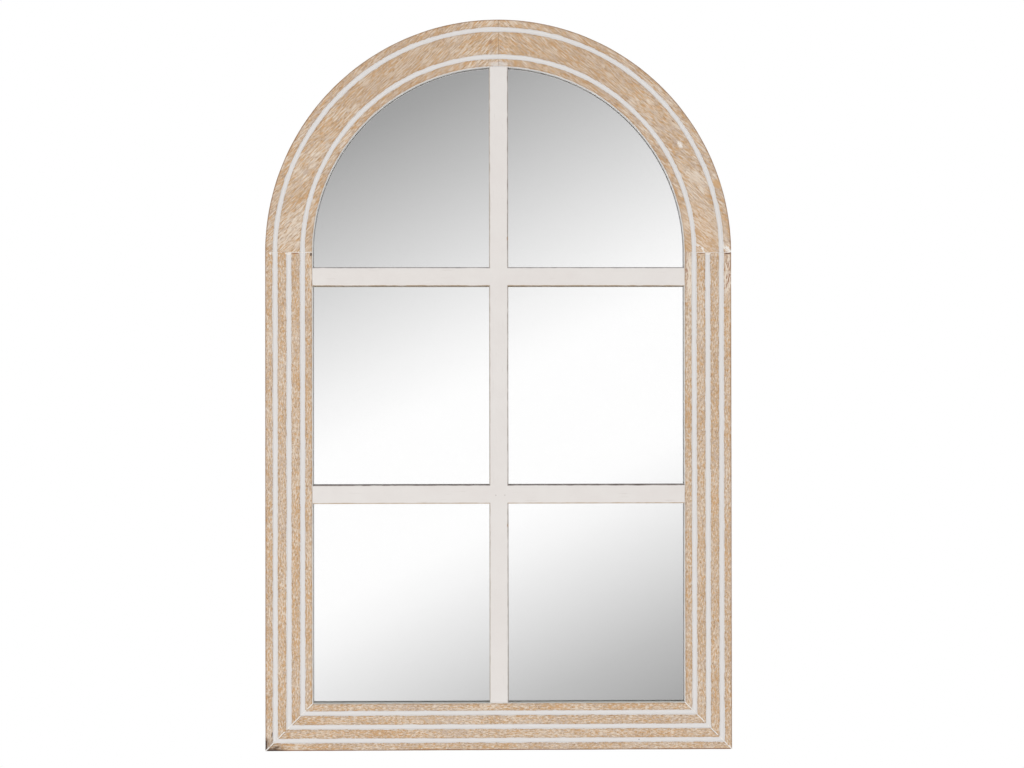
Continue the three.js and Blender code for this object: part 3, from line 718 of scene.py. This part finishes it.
def arch_quarter(side):
    bm = bmesh.new()
    faces = rounded_face(bm, member_section(ARCH_GROOVES, ARCH_GROOVE_HALF))
    stand = Matrix(((-side, 0, 0, side * HALF_WIDTH), (0, 1, 0, 0), (0, 0, 1, SPRING), (0, 0, 0, 1)))
    bmesh.ops.transform(bm, verts=bm.verts, matrix=stand)
    geometry = bm.verts[:] + bm.edges[:] + bm.faces[:]
    bmesh.ops.spin(
        bm, geom=geometry, cent=(0, 0, SPRING), axis=(0, -side, 0),
        angle=math.pi / 2, steps=ARCH_STEPS,
    )
    bmesh.ops.recalc_face_normals(bm, faces=bm.faces)
    bmesh.ops.translate(bm, verts=bm.verts, vec=(side * JOINT, 0, JOINT))
    hand_made(bm, 0.16 * MM, 45, fixed=lambda co: co.y > FRONT + 4 * MM)
    return bm


bar_end_smear = (
    along(patch_mask, (0, SPRING + OPENING + 3.5 * MM), (15 * MM, 4.5 * MM), 0, ragged=1.0),
    GROOVE_PAINT, 0.55, False,
)
def arch_point(degrees, inset):
    """A point on the arch, by its angle from the right spring and its depth from the outer edge."""
    reach = HALF_WIDTH - inset
    return (reach * math.cos(math.radians(degrees)), SPRING + reach * math.sin(math.radians(degrees)))


crown_line = (along(line_mask, (0, SPRING), 90, 0.4 * MM), BROWN, 0.5, False)
KNOT = linear(160, 112, 72)
TAN = linear(205, 166, 122)
left_arch_marks = spring_marks + [
    bar_end_smear,
    crown_line,
    (along(patch_mask, arch_point(118, 36 * MM), (130 * MM, 75 * MM), 30, core=0.2), DEEP_WOOD, 0.3, False),
    (along(limed_patch, (-0.3180, 0.0900), (44 * MM, 26 * MM), 60, LEFT_ARCH_GRAIN, 0.5), LIME, 0.6, False),
    (along(patch_mask, (-0.0120, 0.3733), (5.5 * MM, 4.5 * MM), 60, core=0.2), KNOT, 0.6, False),
    (along(patch_mask, (-0.0820, 0.3755), (3.4 * MM, 2 * MM), 60, core=0.2), KNOT, 0.6, False),
]
right_arch_marks = spring_marks + [
    bar_end_smear,
    crown_line,
    (along(patch_mask, arch_point(66, 36 * MM), (120 * MM, 70 * MM), -30, core=0.2), DEEP_WOOD, 0.25, False),
    (along(patch_mask, (0.3050, 0.0850), (60 * MM, 30 * MM), 110, core=0.2), ORANGE_WOOD, 0.5, False),
    (along(limed_patch, (0.3060, 0.0900), (46 * MM, 30 * MM), 110, RIGHT_ARCH_GRAIN, 0.45), LIME, 0.6, False),
    (along(limed_patch, (0.2960, 0.1700), (34 * MM, 9 * MM), -36, RIGHT_ARCH_GRAIN, 0.7), LIME, 0.45, False),
    (along(patch_mask, (0.3285, 0.1600), (8 * MM, 5.5 * MM), -55, ragged=0.3), TAN, 0.8, False),
    (along(limed_patch, (0.2730, 0.2190), (7 * MM, 4 * MM), -70, RIGHT_ARCH_GRAIN, 0.9), FILLER, 0.9, False),
    (along(limed_patch, (0.3440, 0.0620), (11 * MM, 5 * MM), -40, RIGHT_ARCH_GRAIN, 0.8), FILLER, 0.95, True),
    (along(limed_patch, (0.3040, 0.0640), (11 * MM, 4 * MM), -45, RIGHT_ARCH_GRAIN, 0.65), FILLER, 0.85, False),
]
finish_piece(
    "left_arch_wood", arch_quarter(-1),
    limed_wood("limed left arch", "arch", LEFT_ARCH_GRAIN, 4, ARCH_GROOVE_HALF, left_arch_marks),
    "limed_wood", "left_arch_quarter",
)
finish_piece(
    "right_arch_wood", arch_quarter(1),
    limed_wood("limed right arch", "arch", RIGHT_ARCH_GRAIN, 5, ARCH_GROOVE_HALF, right_arch_marks),
    "limed_wood", "right_arch_quarter",
)

# %% [markdown]
# ## Window bars
# Flat bars, painted off-white, lie in front of the glass. Their edges are eased, and the paint has
# worn thin there, so that a little wood shows as a broken brown line. Painted shade and light are
# added to those edges: the top or right edge of each bar is painted darker, the other lighter.

# %% Bar paint
BAR_PAINT = linear(232, 227, 223)
WORN_EDGE = 0.8 * MM
BAR = bar_high.x - bar_low.x + 2 * WORN_EDGE
CROSSINGS = []
for label in ("upper", "lower"):
    low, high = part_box(f"{label}_cross_bar")
    CROSSINGS.append((low.z + high.z) / 2)
print("cross-bars at", [round(height, 4) for height in CROSSINGS], "bars are", round(BAR, 4), "wide")


def bar_paint(name, across_axis, low_edge_worn_lit, high_edge_worn_shaded, marks=()):
    """The two edge colours are worn wood, with painted light on the low or left edge and painted shade on the
    high or right edge.
    """
    material, recipe = start_finish(name)
    place = recipe.place()
    x, y, z = recipe.axes(place)
    upright = across_axis == "x"
    strokes = recipe.cloud(
        recipe.stretch(place, (420, 420, 30) if upright else (30, 420, 420)), detail=3.0
    )
    cloudy = recipe.cloud(place, 28, 2.0)
    colour = recipe.blend((cloudy - 0.35) * 1.1, solid(BAR_PAINT), solid(linear(225, 218, 214)))
    faint = recipe.ramp(strokes, 0.62, 0.75)
    colour = recipe.blend(faint * 0.35, colour, solid(linear(205, 196, 190)))

    rubbed = recipe.cloud(place, 75, 3.0)
    wander = (rubbed - 0.5) * (1.2 * MM)
    edge_start, edge_full = BAR / 2 - 1.9 * MM, BAR / 2 - 1.1 * MM
    if upright:
        from_middle = x
        open_side = 1.0
        for height in CROSSINGS:
            open_side = recipe.ramp(abs(z - height), BAR / 2 - 2.2 * MM, BAR / 2 - 1 * MM) * open_side
    else:
        height = CROSSINGS[0] if name.startswith("upper") else CROSSINGS[1]
        from_middle = z - height
        open_side = recipe.ramp(abs(x), BAR / 2 - 2.2 * MM, BAR / 2 - 1 * MM)
    # Each worn edge is painted brown, lighter on the low or left side and darker on the high or right side:
    # painted light and shade.
    for toward, tint in ((-1.0, low_edge_worn_lit), (1.0, high_edge_worn_shaded)):
        edge = recipe.ramp(from_middle * toward + wander, edge_start, edge_full) * open_side
        colour = recipe.blend(edge * (0.45 + rubbed * 0.8), colour, solid(tint))
    speck = recipe.ramp(recipe.cloud(place, 650, 2.0), 0.74, 0.8)
    colour = recipe.blend(speck * 0.25, colour, solid(WOOD))
    for make_mask, tint, strength in marks:
        colour = recipe.blend(make_mask(recipe, place) * strength, colour, solid(tint))
    relief = (strokes - 0.5) * 0.1 + (recipe.cloud(place, 160, 2.0) - 0.5) * 0.12
    end_finish(recipe, {
        "Base Color": colour,
        "Roughness": 0.55 + (cloudy - 0.5) * 0.15,
        "Normal": recipe.bump(relief, 1 * MM),
        "Specular IOR Level": 0.4,
    })
    return material


# %% Make the bars
def flat_bar(low, high, front, back, upright):
    """A bar with eased front edges, from its low to its high end."""
    half = BAR / 2
    corners = [
        (-half, back, 0.25 * MM), (-half, front, 1.6 * MM),
        (half, front, 1.6 * MM), (half, back, 0.25 * MM),
    ]
    bm = extruded_length(corners, high - low, max(2, round((high - low) / STEP)))
    if upright:
        bmesh.ops.translate(bm, verts=bm.verts, vec=(0, 0, low))
    else:
        lay_down = Matrix(((0, 0, -1, high), (0, 1, 0, 0), (1, 0, 0, 0), (0, 0, 0, 1)))
        bmesh.ops.transform(bm, verts=bm.verts, matrix=lay_down)
    return bm


bar_front, bar_back = bar_low.y, LEDGE
OVER_ARMS = 0.03 * MM
bm = flat_bar(BOTTOM + MEMBER, SPRING + OPENING, bar_front - OVER_ARMS, bar_back, True)
for vert in bm.verts:
    if vert.co.z > SPRING + OPENING - 1 * MM:
        vert.co.z = SPRING + math.sqrt(OPENING**2 - vert.co.x**2)
hand_made(bm, 0.12 * MM, 40, fixed=lambda co: co.y > bar_back - 0.5 * MM or co.y < bar_front)
BRAD_HEAD = linear(176, 166, 160)
CHIP = linear(170, 140, 112)
upright_marks = [
    (along(patch_mask, (-0.0046, -0.3075), (1.1 * MM, 0.9 * MM), 0, core=0.3), BRAD_HEAD, 0.8),
    (along(patch_mask, (0.0089, -0.3075), (1.1 * MM, 0.9 * MM), 0, core=0.3), BRAD_HEAD, 0.9),
    (along(patch_mask, (0.0132, 0.0777), (3.4 * MM, 1.2 * MM), 90), CHIP, 0.7),
    (along(patch_mask, (0.0132, -0.3528), (3.0 * MM, 1.2 * MM), 90), CHIP, 0.7),
]
# The upright's right edge is painted darker than its left edge: painted shade.
finish_piece(
    "upright_window_bar", bm,
    bar_paint("upright bar paint", "x", linear(186, 176, 164), linear(160, 150, 142), upright_marks),
    "pale_paint", "upright_bar",
)

# Cross-bar edge colours: the lower edge is worn wood with painted light, and the top edge is a grey painted
# shade.
WORN_AND_SHADED_EDGE_COLOURS = {
    "upper": (linear(168, 146, 118), linear(140, 134, 134)),
    "lower": (linear(190, 166, 138), linear(128, 118, 112)),
}
for label, middle in zip(("upper", "lower"), CROSSINGS):
    arms = bmesh.new()
    for start, end in ((-OPENING, 2 * MM - BAR / 2), (BAR / 2 - 2 * MM, OPENING)):
        arm = flat_bar(start, end, bar_front, bar_back, False)
        bmesh.ops.translate(arm, verts=arm.verts, vec=(0, 0, middle))
        hand_made(arm, 0.12 * MM, 40, fixed=lambda co: co.y > bar_back - 0.5 * MM or co.y < bar_front + 0.01 * MM)
        held = bpy.data.meshes.new("arm")
        arm.to_mesh(held)
        arm.free()
        arms.from_mesh(held)
        bpy.data.meshes.remove(held)
    finish_piece(
        f"{label}_window_bar", arms,
        bar_paint(f"{label} bar paint", "z", *WORN_AND_SHADED_EDGE_COLOURS[label]),
        "pale_paint", f"{label}_cross_bar",
    )

# %% [markdown]
# ## Mirror
# A mirror is clear glass with silver behind it, so each edge in front of it is seen twice, with a
# dark gap between the edge and its image. The pane and the silver are therefore two pieces.

# %% Glass and silver
material, recipe = start_finish("float glass")
end_finish(recipe, {
    "Base Color": solid((1, 1, 1)),
    "Roughness": 0.0,
    "IOR": 1.5,
    "Transmission Weight": 1.0,
})
float_glass = material

material, recipe = start_finish("silver")
place = recipe.place()
haze = recipe.cloud(place, 12, 2.0)
x, y, z = recipe.axes(place)
end_finish(recipe, {
    "Base Color": recipe.blend(haze * 0.3, solid((1, 1, 1)), solid((0.985, 0.985, 0.985))),
    "Metallic": 1.0,
    "Roughness": 0.004,
})
silver = material


def pane(front, back, edge):
    """The outline of the opening, moved outwards by edge, as a closed plate."""
    bm = bmesh.new()
    half, bottom = OPENING + edge, BOTTOM + MEMBER - edge
    start = bm.verts.new((half, front, SPRING))
    spun = bmesh.ops.spin(
        bm, geom=[start], cent=(0, 0, SPRING), axis=(0, -1, 0), angle=math.pi, steps=128
    )["geom_last"]
    last = next(g for g in spun if isinstance(g, bmesh.types.BMVert))
    low_left = bm.verts.new((-half, front, bottom))
    low_right = bm.verts.new((half, front, bottom))
    for pair in ((last, low_left), (low_left, low_right), (low_right, start)):
        bm.edges.new(pair)
    bmesh.ops.contextual_create(bm, geom=bm.edges[:])
    moved = bmesh.ops.extrude_face_region(bm, geom=bm.faces[:])["geom"]
    bmesh.ops.translate(
        bm, verts=[g for g in moved if isinstance(g, bmesh.types.BMVert)], vec=(0, back - front, 0)
    )
    bmesh.ops.recalc_face_normals(bm, faces=bm.faces)
    return bm


SILVER_THICKNESS = 0.25 * MM
EDGE = 7.1 * MM
glass_back = glass_high.y - SILVER_THICKNESS
finish_piece("mirror_pane", pane(glass_low.y, glass_back - 0.02 * MM, EDGE), float_glass,
             "silvered_glass", "mirror_glass")
finish_piece("mirror_silver", pane(glass_back, glass_high.y, EDGE), silver, "silvered_glass")

# %% [markdown]
# ## Back of the mirror
# The board, the straps, the bumpers and the hidden joinery keep their solids and get finishes. The
# rings and the screws are drawn again, because round wire and a cross recess need finer faces.

# %% Finishes of the back
def hardboard():
    material, recipe = start_finish("hardboard")
    place = recipe.place()
    fibres = recipe.cloud(place, 900, 3.0)
    flecks = recipe.cloud(recipe.stretch(place, (260, 260, 900), 0.5), detail=2.0)
    cloudy = recipe.cloud(place, 14, 2.0)
    tone = (fibres - 0.5) * 0.9 + (flecks - 0.5) * 0.8 + (cloudy - 0.5) * 0.2 + 0.5
    colour = recipe.tones(
        tone, [(0.2, linear(104, 74, 48)), (0.5, linear(132, 98, 66)), (0.85, linear(160, 126, 90))]
    )
    end_finish(recipe, {
        "Base Color": colour, "Roughness": 0.8 + (fibres - 0.5) * 0.2,
        "Normal": recipe.bump((fibres - 0.5) * 0.1, 1 * MM),
    })
    return material


def beech():
    material, recipe = start_finish("beech")
    place = recipe.place()
    fibres = recipe.cloud(recipe.stretch(place, (60, 700, 700)), detail=3.0)
    colour = recipe.tones(fibres, [(0.3, linear(196, 158, 112)), (0.7, linear(222, 190, 148))])
    end_finish(recipe, {
        "Base Color": colour, "Roughness": 0.7 + (fibres - 0.5) * 0.2,
        "Normal": recipe.bump((fibres - 0.5) * 0.1, 1 * MM),
    })
    return material


def zinc():
    material, recipe = start_finish("zinc plated steel")
    place = recipe.place()
    spangle = recipe.cloud(place, 300, 2.0)
    scuffs = recipe.cloud(recipe.stretch(place, (200, 200, 1400), 0.7), detail=2.0)
    colour = recipe.blend(spangle, solid(linear(176, 178, 178)), solid(linear(206, 206, 202)))
    end_finish(recipe, {
        "Base Color": colour, "Metallic": 1.0, "Roughness": 0.3 + (scuffs - 0.5) * 0.25,
        "Normal": recipe.bump((scuffs - 0.5) * 0.05, 1 * MM),
    })
    return material


def rubber():
    material, recipe = start_finish("rubber")
    place = recipe.place()
    dust = recipe.cloud(place, 700, 3.0)
    colour = recipe.blend(dust * 0.4, solid(linear(48, 46, 44)), solid(linear(86, 82, 78)))
    end_finish(recipe, {
        "Base Color": colour, "Roughness": 0.75 + (dust - 0.5) * 0.2,
        "Normal": recipe.bump((dust - 0.5) * 0.08, 1 * MM),
    })
    return material


ZINC = zinc()
NODE_FINISH = {"fibreboard": hardboard(), "beech": beech(), "zinc_steel": ZINC, "rubber": rubber()}
slot_of = {part["node"]: part["material_slot"] for part in frame["record"]["subparts"]}
for node_name, node in frame["nodes"].items():
    if slot_of.get(node_name) in NODE_FINISH:
        node.data.materials.clear()
        node.data.materials.append(NODE_FINISH[slot_of[node_name]])
print("dressed", sum(slot_of.get(n) in NODE_FINISH for n in frame["nodes"]), "nodes of the back")

# %% [markdown]
# A hanging ring is one length of wire bent to a D, with its ends butted in the fold of the strap. A
# circle of wire is drawn out along the straight side, spun round the corner and the bow, and the
# half that this gives is mirrored.

# %% Bend the rings
WIRE_RADIUS = 1.25 * MM
RING_CORNER = 4 * MM
PIVOT_Y = 2.65 * MM


def moved_edges(geometry):
    return [g for g in geometry if isinstance(g, bmesh.types.BMEdge)]


def moved_verts(geometry):
    return [g for g in geometry if isinstance(g, bmesh.types.BMVert)]


def hanging_ring(low, high):
    middle = (low.x + high.x) / 2
    half_width = (high.x - low.x) / 2 - WIRE_RADIUS
    drop = -low.z - WIRE_RADIUS
    lean = math.asin(0.8 * MM / drop)
    bm = bmesh.new()
    bmesh.ops.create_circle(bm, cap_ends=False, segments=16, radius=WIRE_RADIUS)
    bmesh.ops.rotate(bm, verts=bm.verts, cent=(0, 0, 0), matrix=Matrix.Rotation(math.pi / 2, 3, "Y"))
    bmesh.ops.translate(bm, verts=bm.verts, vec=(0.15 * MM, 0, 0))
    bmesh.ops.contextual_create(bm, geom=bm.edges[:])
    edges = bm.edges[:]
    moved = bmesh.ops.extrude_edge_only(bm, edges=edges)["geom"]
    straight = half_width - RING_CORNER - 0.15 * MM
    bmesh.ops.translate(bm, verts=moved_verts(moved), vec=(straight, 0, 0))
    corner = bmesh.ops.spin(
        bm, geom=moved_edges(moved), cent=(half_width - RING_CORNER, 0, -RING_CORNER),
        axis=(0, 1, 0), angle=math.pi / 2, steps=6,
    )["geom_last"]
    bow_top = half_width - drop
    moved = bmesh.ops.extrude_edge_only(bm, edges=moved_edges(corner))["geom"]
    bmesh.ops.translate(bm, verts=moved_verts(moved), vec=(0, 0, bow_top + RING_CORNER))
    bmesh.ops.spin(
        bm, geom=moved_edges(moved), cent=(0, 0, bow_top), axis=(0, 1, 0), angle=math.pi / 2, steps=14
    )
    bmesh.ops.mirror(bm, geom=bm.verts[:] + bm.edges[:] + bm.faces[:], axis="X", merge_dist=1e-6)
    bmesh.ops.remove_doubles(bm, verts=bm.verts, dist=1e-6)
    bmesh.ops.recalc_face_normals(bm, faces=bm.faces)
    bmesh.ops.rotate(bm, verts=bm.verts, cent=(0, 0, 0), matrix=Matrix.Rotation(lean, 3, "X"))
    bmesh.ops.translate(bm, verts=bm.verts, vec=(middle, PIVOT_Y, 0))
    return bm


for side in ("left", "right"):
    node = f"{side}_hanger_ring"
    finish_piece(
        f"{side}_hanging_ring", hanging_ring(*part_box(node)), ZINC, "zinc_steel", node,
        body=f"{side}_ring", crease=60,
    )

# %% [markdown]
# The screws have round heads with a cross recess. The recess is a grid that has lost its corners.
# The flat face between it and the round rim of the head is filled, and then the cross is pushed in.

# %% Turn the screws
HEAD_HEIGHT = 1.8 * MM
RECESS = 0.9 * MM
RIM = 0.72


def screw(low, high, head_radius, shank_radius):
    """A screw that points along -Y, with the top of its head at high.y."""
    bm = bmesh.new()
    bmesh.ops.create_grid(bm, x_segments=3, y_segments=3, size=head_radius * 0.5)
    corners = [f for f in bm.faces if min(abs(f.calc_center_median()[:][i]) for i in (0, 1)) > 1e-4]
    bmesh.ops.delete(bm, geom=corners, context="FACES")
    recess = bm.faces[:]
    plus = [e for e in bm.edges if e.is_boundary]
    rim = bmesh.ops.create_circle(bm, segments=24, radius=head_radius * RIM)["verts"]
    outer = [e for e in bm.edges if e.verts[0] in rim]
    bmesh.ops.triangle_fill(bm, edges=plus + outer, use_beauty=True, normal=(0, 0, 1))
    bmesh.ops.rotate(bm, verts=bm.verts, cent=(0, 0, 0), matrix=Matrix.Rotation(math.pi / 2, 3, "X"))
    profile = (
        (0.92, -0.5 * MM), (1.0, -1.2 * MM), (1.0, -HEAD_HEIGHT), (shank_radius / head_radius, -HEAD_HEIGHT),
        (shank_radius / head_radius, low.y - high.y + 2.5 * MM), (0.05, low.y - high.y),
    )
    loop, size, depth = outer, RIM, 0.0
    for share, place in profile:
        moved = bmesh.ops.extrude_edge_only(bm, edges=loop)["geom"]
        ring = moved_verts(moved)
        bmesh.ops.scale(bm, verts=ring, vec=(share / size, 1, share / size))
        bmesh.ops.translate(bm, verts=ring, vec=(0, place - depth, 0))
        loop, size, depth = moved_edges(moved), share, place
    bmesh.ops.contextual_create(bm, geom=loop)
    pushed = bmesh.ops.extrude_face_region(bm, geom=recess)["geom"]
    bmesh.ops.delete(bm, geom=recess, context="FACES")
    bmesh.ops.translate(bm, verts=moved_verts(pushed), vec=(0, -RECESS, 0))
    bmesh.ops.recalc_face_normals(bm, faces=bm.faces)
    turn = noise.noise(low * 900) * math.pi
    bmesh.ops.rotate(bm, verts=bm.verts, cent=(0, 0, 0), matrix=Matrix.Rotation(turn, 3, "Y"))
    bmesh.ops.translate(
        bm, verts=bm.verts, vec=((low.x + high.x) / 2, high.y, (low.z + high.z) / 2)
    )
    return bm


for node in sorted(frame["nodes"]):
    if node.startswith("board_screw_"):
        finish_piece(f"{node}_turned", screw(*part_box(node), 3 * MM, 1.5 * MM), ZINC, "zinc_steel", node)
    elif "hanger_screw" in node:
        finish_piece(f"{node}_turned", screw(*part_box(node), 3.2 * MM, 1.5 * MM), ZINC, "zinc_steel", node)

# %% [markdown]
# ## Floor, studio and light
# The mirror hangs well above a pale floor. The studio is white to the camera. In the mirror it is
# a soft band of light that falls off to grey above and below, as the photograph shows.

# %% Floor
FLOOR = BOTTOM - 0.9
FLOOR_REACH = 2.9
bm = bmesh.new()
bmesh.ops.create_circle(bm, cap_ends=True, segments=96, radius=FLOOR_REACH)
bmesh.ops.translate(bm, verts=bm.verts, vec=(0, 0, FLOOR))
mesh = bpy.data.meshes.new("floor")
bm.to_mesh(mesh)
bm.free()
floor = bpy.data.objects.new("floor", mesh)
scene.collection.objects.link(floor)


def seen(recipe):
    """1 for what the camera sees directly, in a mirror or through glass."""
    kinds = ("Is Camera Ray", "Is Glossy Ray", "Is Transmission Ray")
    rays = [recipe.node("ShaderNodeLightPath", output=kind) for kind in kinds]
    return recipe.smaller(rays[0] + rays[1] + rays[2], 1.0)


material, recipe = start_finish("pale floor")
x, y, _ = recipe.axes(recipe.place())
rim = recipe.ramp((x * x + y * y) ** 0.5, 0.55 * FLOOR_REACH, 0.98 * FLOOR_REACH)
plain = recipe.node("ShaderNodeBsdfDiffuse", None, {"Color": solid((0.86, 0.86, 0.86))})
glow = recipe.node("ShaderNodeEmission", None, {"Color": solid((1, 1, 1)), "Strength": 1.0})
shown = seen(recipe) * (0.8 + rim * 0.2)
mixed = recipe.node("ShaderNodeMixShader", None, {0: shown, 1: plain, 2: glow})
recipe.node("ShaderNodeOutputMaterial", None, {"Surface": mixed})
mesh.materials.append(material)

# %% Studio
BAND_ANGLE = math.radians(25)
AMBIENT = 0.72
world = bpy.data.worlds.new("studio")
scene.world = world
world.use_nodes = True
recipe = Recipe(world.node_tree)
towards = recipe.node("ShaderNodeTexCoord", output="Generated")
x, y, z = recipe.axes(towards)
height = z * math.cos(BAND_ANGLE) - x * math.sin(BAND_ANGLE)
BAND = [
    (-0.318, 0.20), (-0.258, 0.37), (-0.21, 0.53), (-0.163, 0.735), (-0.116, 0.925), (-0.092, 0.99),
    (-0.078, 1.0), (0.0, 1.0), (0.012, 0.985), (0.043, 0.905), (0.09, 0.75), (0.153, 0.53),
    (0.2, 0.375), (0.272, 0.22),
]
low, high = BAND[0][0], BAND[-1][0]
steps = [((place - low) / (high - low), (value,) * 3) for place, value in BAND]
position = recipe.node(
    "ShaderNodeMapRange", {"clamp": True}, {0: height, 1: low, 2: high, 3: 0.0, 4: 1.0}
)
band = recipe.tones(position, steps)
backdrop = recipe.ramp(y, -0.35, 0.05)
studio_colour = recipe.blend(backdrop, band, solid((1, 1, 1)))
camera_ray = recipe.node("ShaderNodeLightPath", output="Is Camera Ray")
studio_colour = recipe.blend(camera_ray, studio_colour, solid((1, 1, 1)))
room = recipe.node("ShaderNodeBackground", None, {"Color": solid((1, 1, 1)), "Strength": AMBIENT})
studio = recipe.node("ShaderNodeBackground", None, {"Color": studio_colour, "Strength": 1.0})
mixed = recipe.node("ShaderNodeMixShader", None, {0: seen(recipe), 1: room, 2: studio})
recipe.node("ShaderNodeOutputWorld", None, {"Surface": mixed})


# %% Lamps
def soft_lamp(name, place, target, size, share):
    """share is how much of the plain level this lamp gives on a surface that faces it."""
    lamp = bpy.data.objects.new(name, bpy.data.lights.new(name, "AREA"))
    scene.collection.objects.link(lamp)
    direction = Vector(target) - Vector(place)
    lamp.location = place
    lamp.rotation_euler = direction.to_track_quat("-Z", "Y").to_euler()
    lamp.data.shape = "SQUARE"
    lamp.data.size = size
    lamp.data.energy = share * math.pi**2 * direction.length_squared
    lamp.visible_glossy = False
    lamp.visible_camera = False
    print(f"{name}: {lamp.data.energy:.0f} W")


soft_lamp("key lamp", (-2.2, -2.9, -1.1), (0, 0, -0.1), 1.6, 0.21)
soft_lamp("fill lamp", (2.6, -2.8, 0.6), (0, 0, -0.1), 2.0, 0.14)
soft_lamp("back lamp", (1.6, 2.8, 1.6), (0, 0, -0.1), 2.0, 0.4)

# %% [markdown]
# ## Finish
# The view transform is the plain one.

# %% Set the view transform
scene.view_settings.view_transform = "Standard"
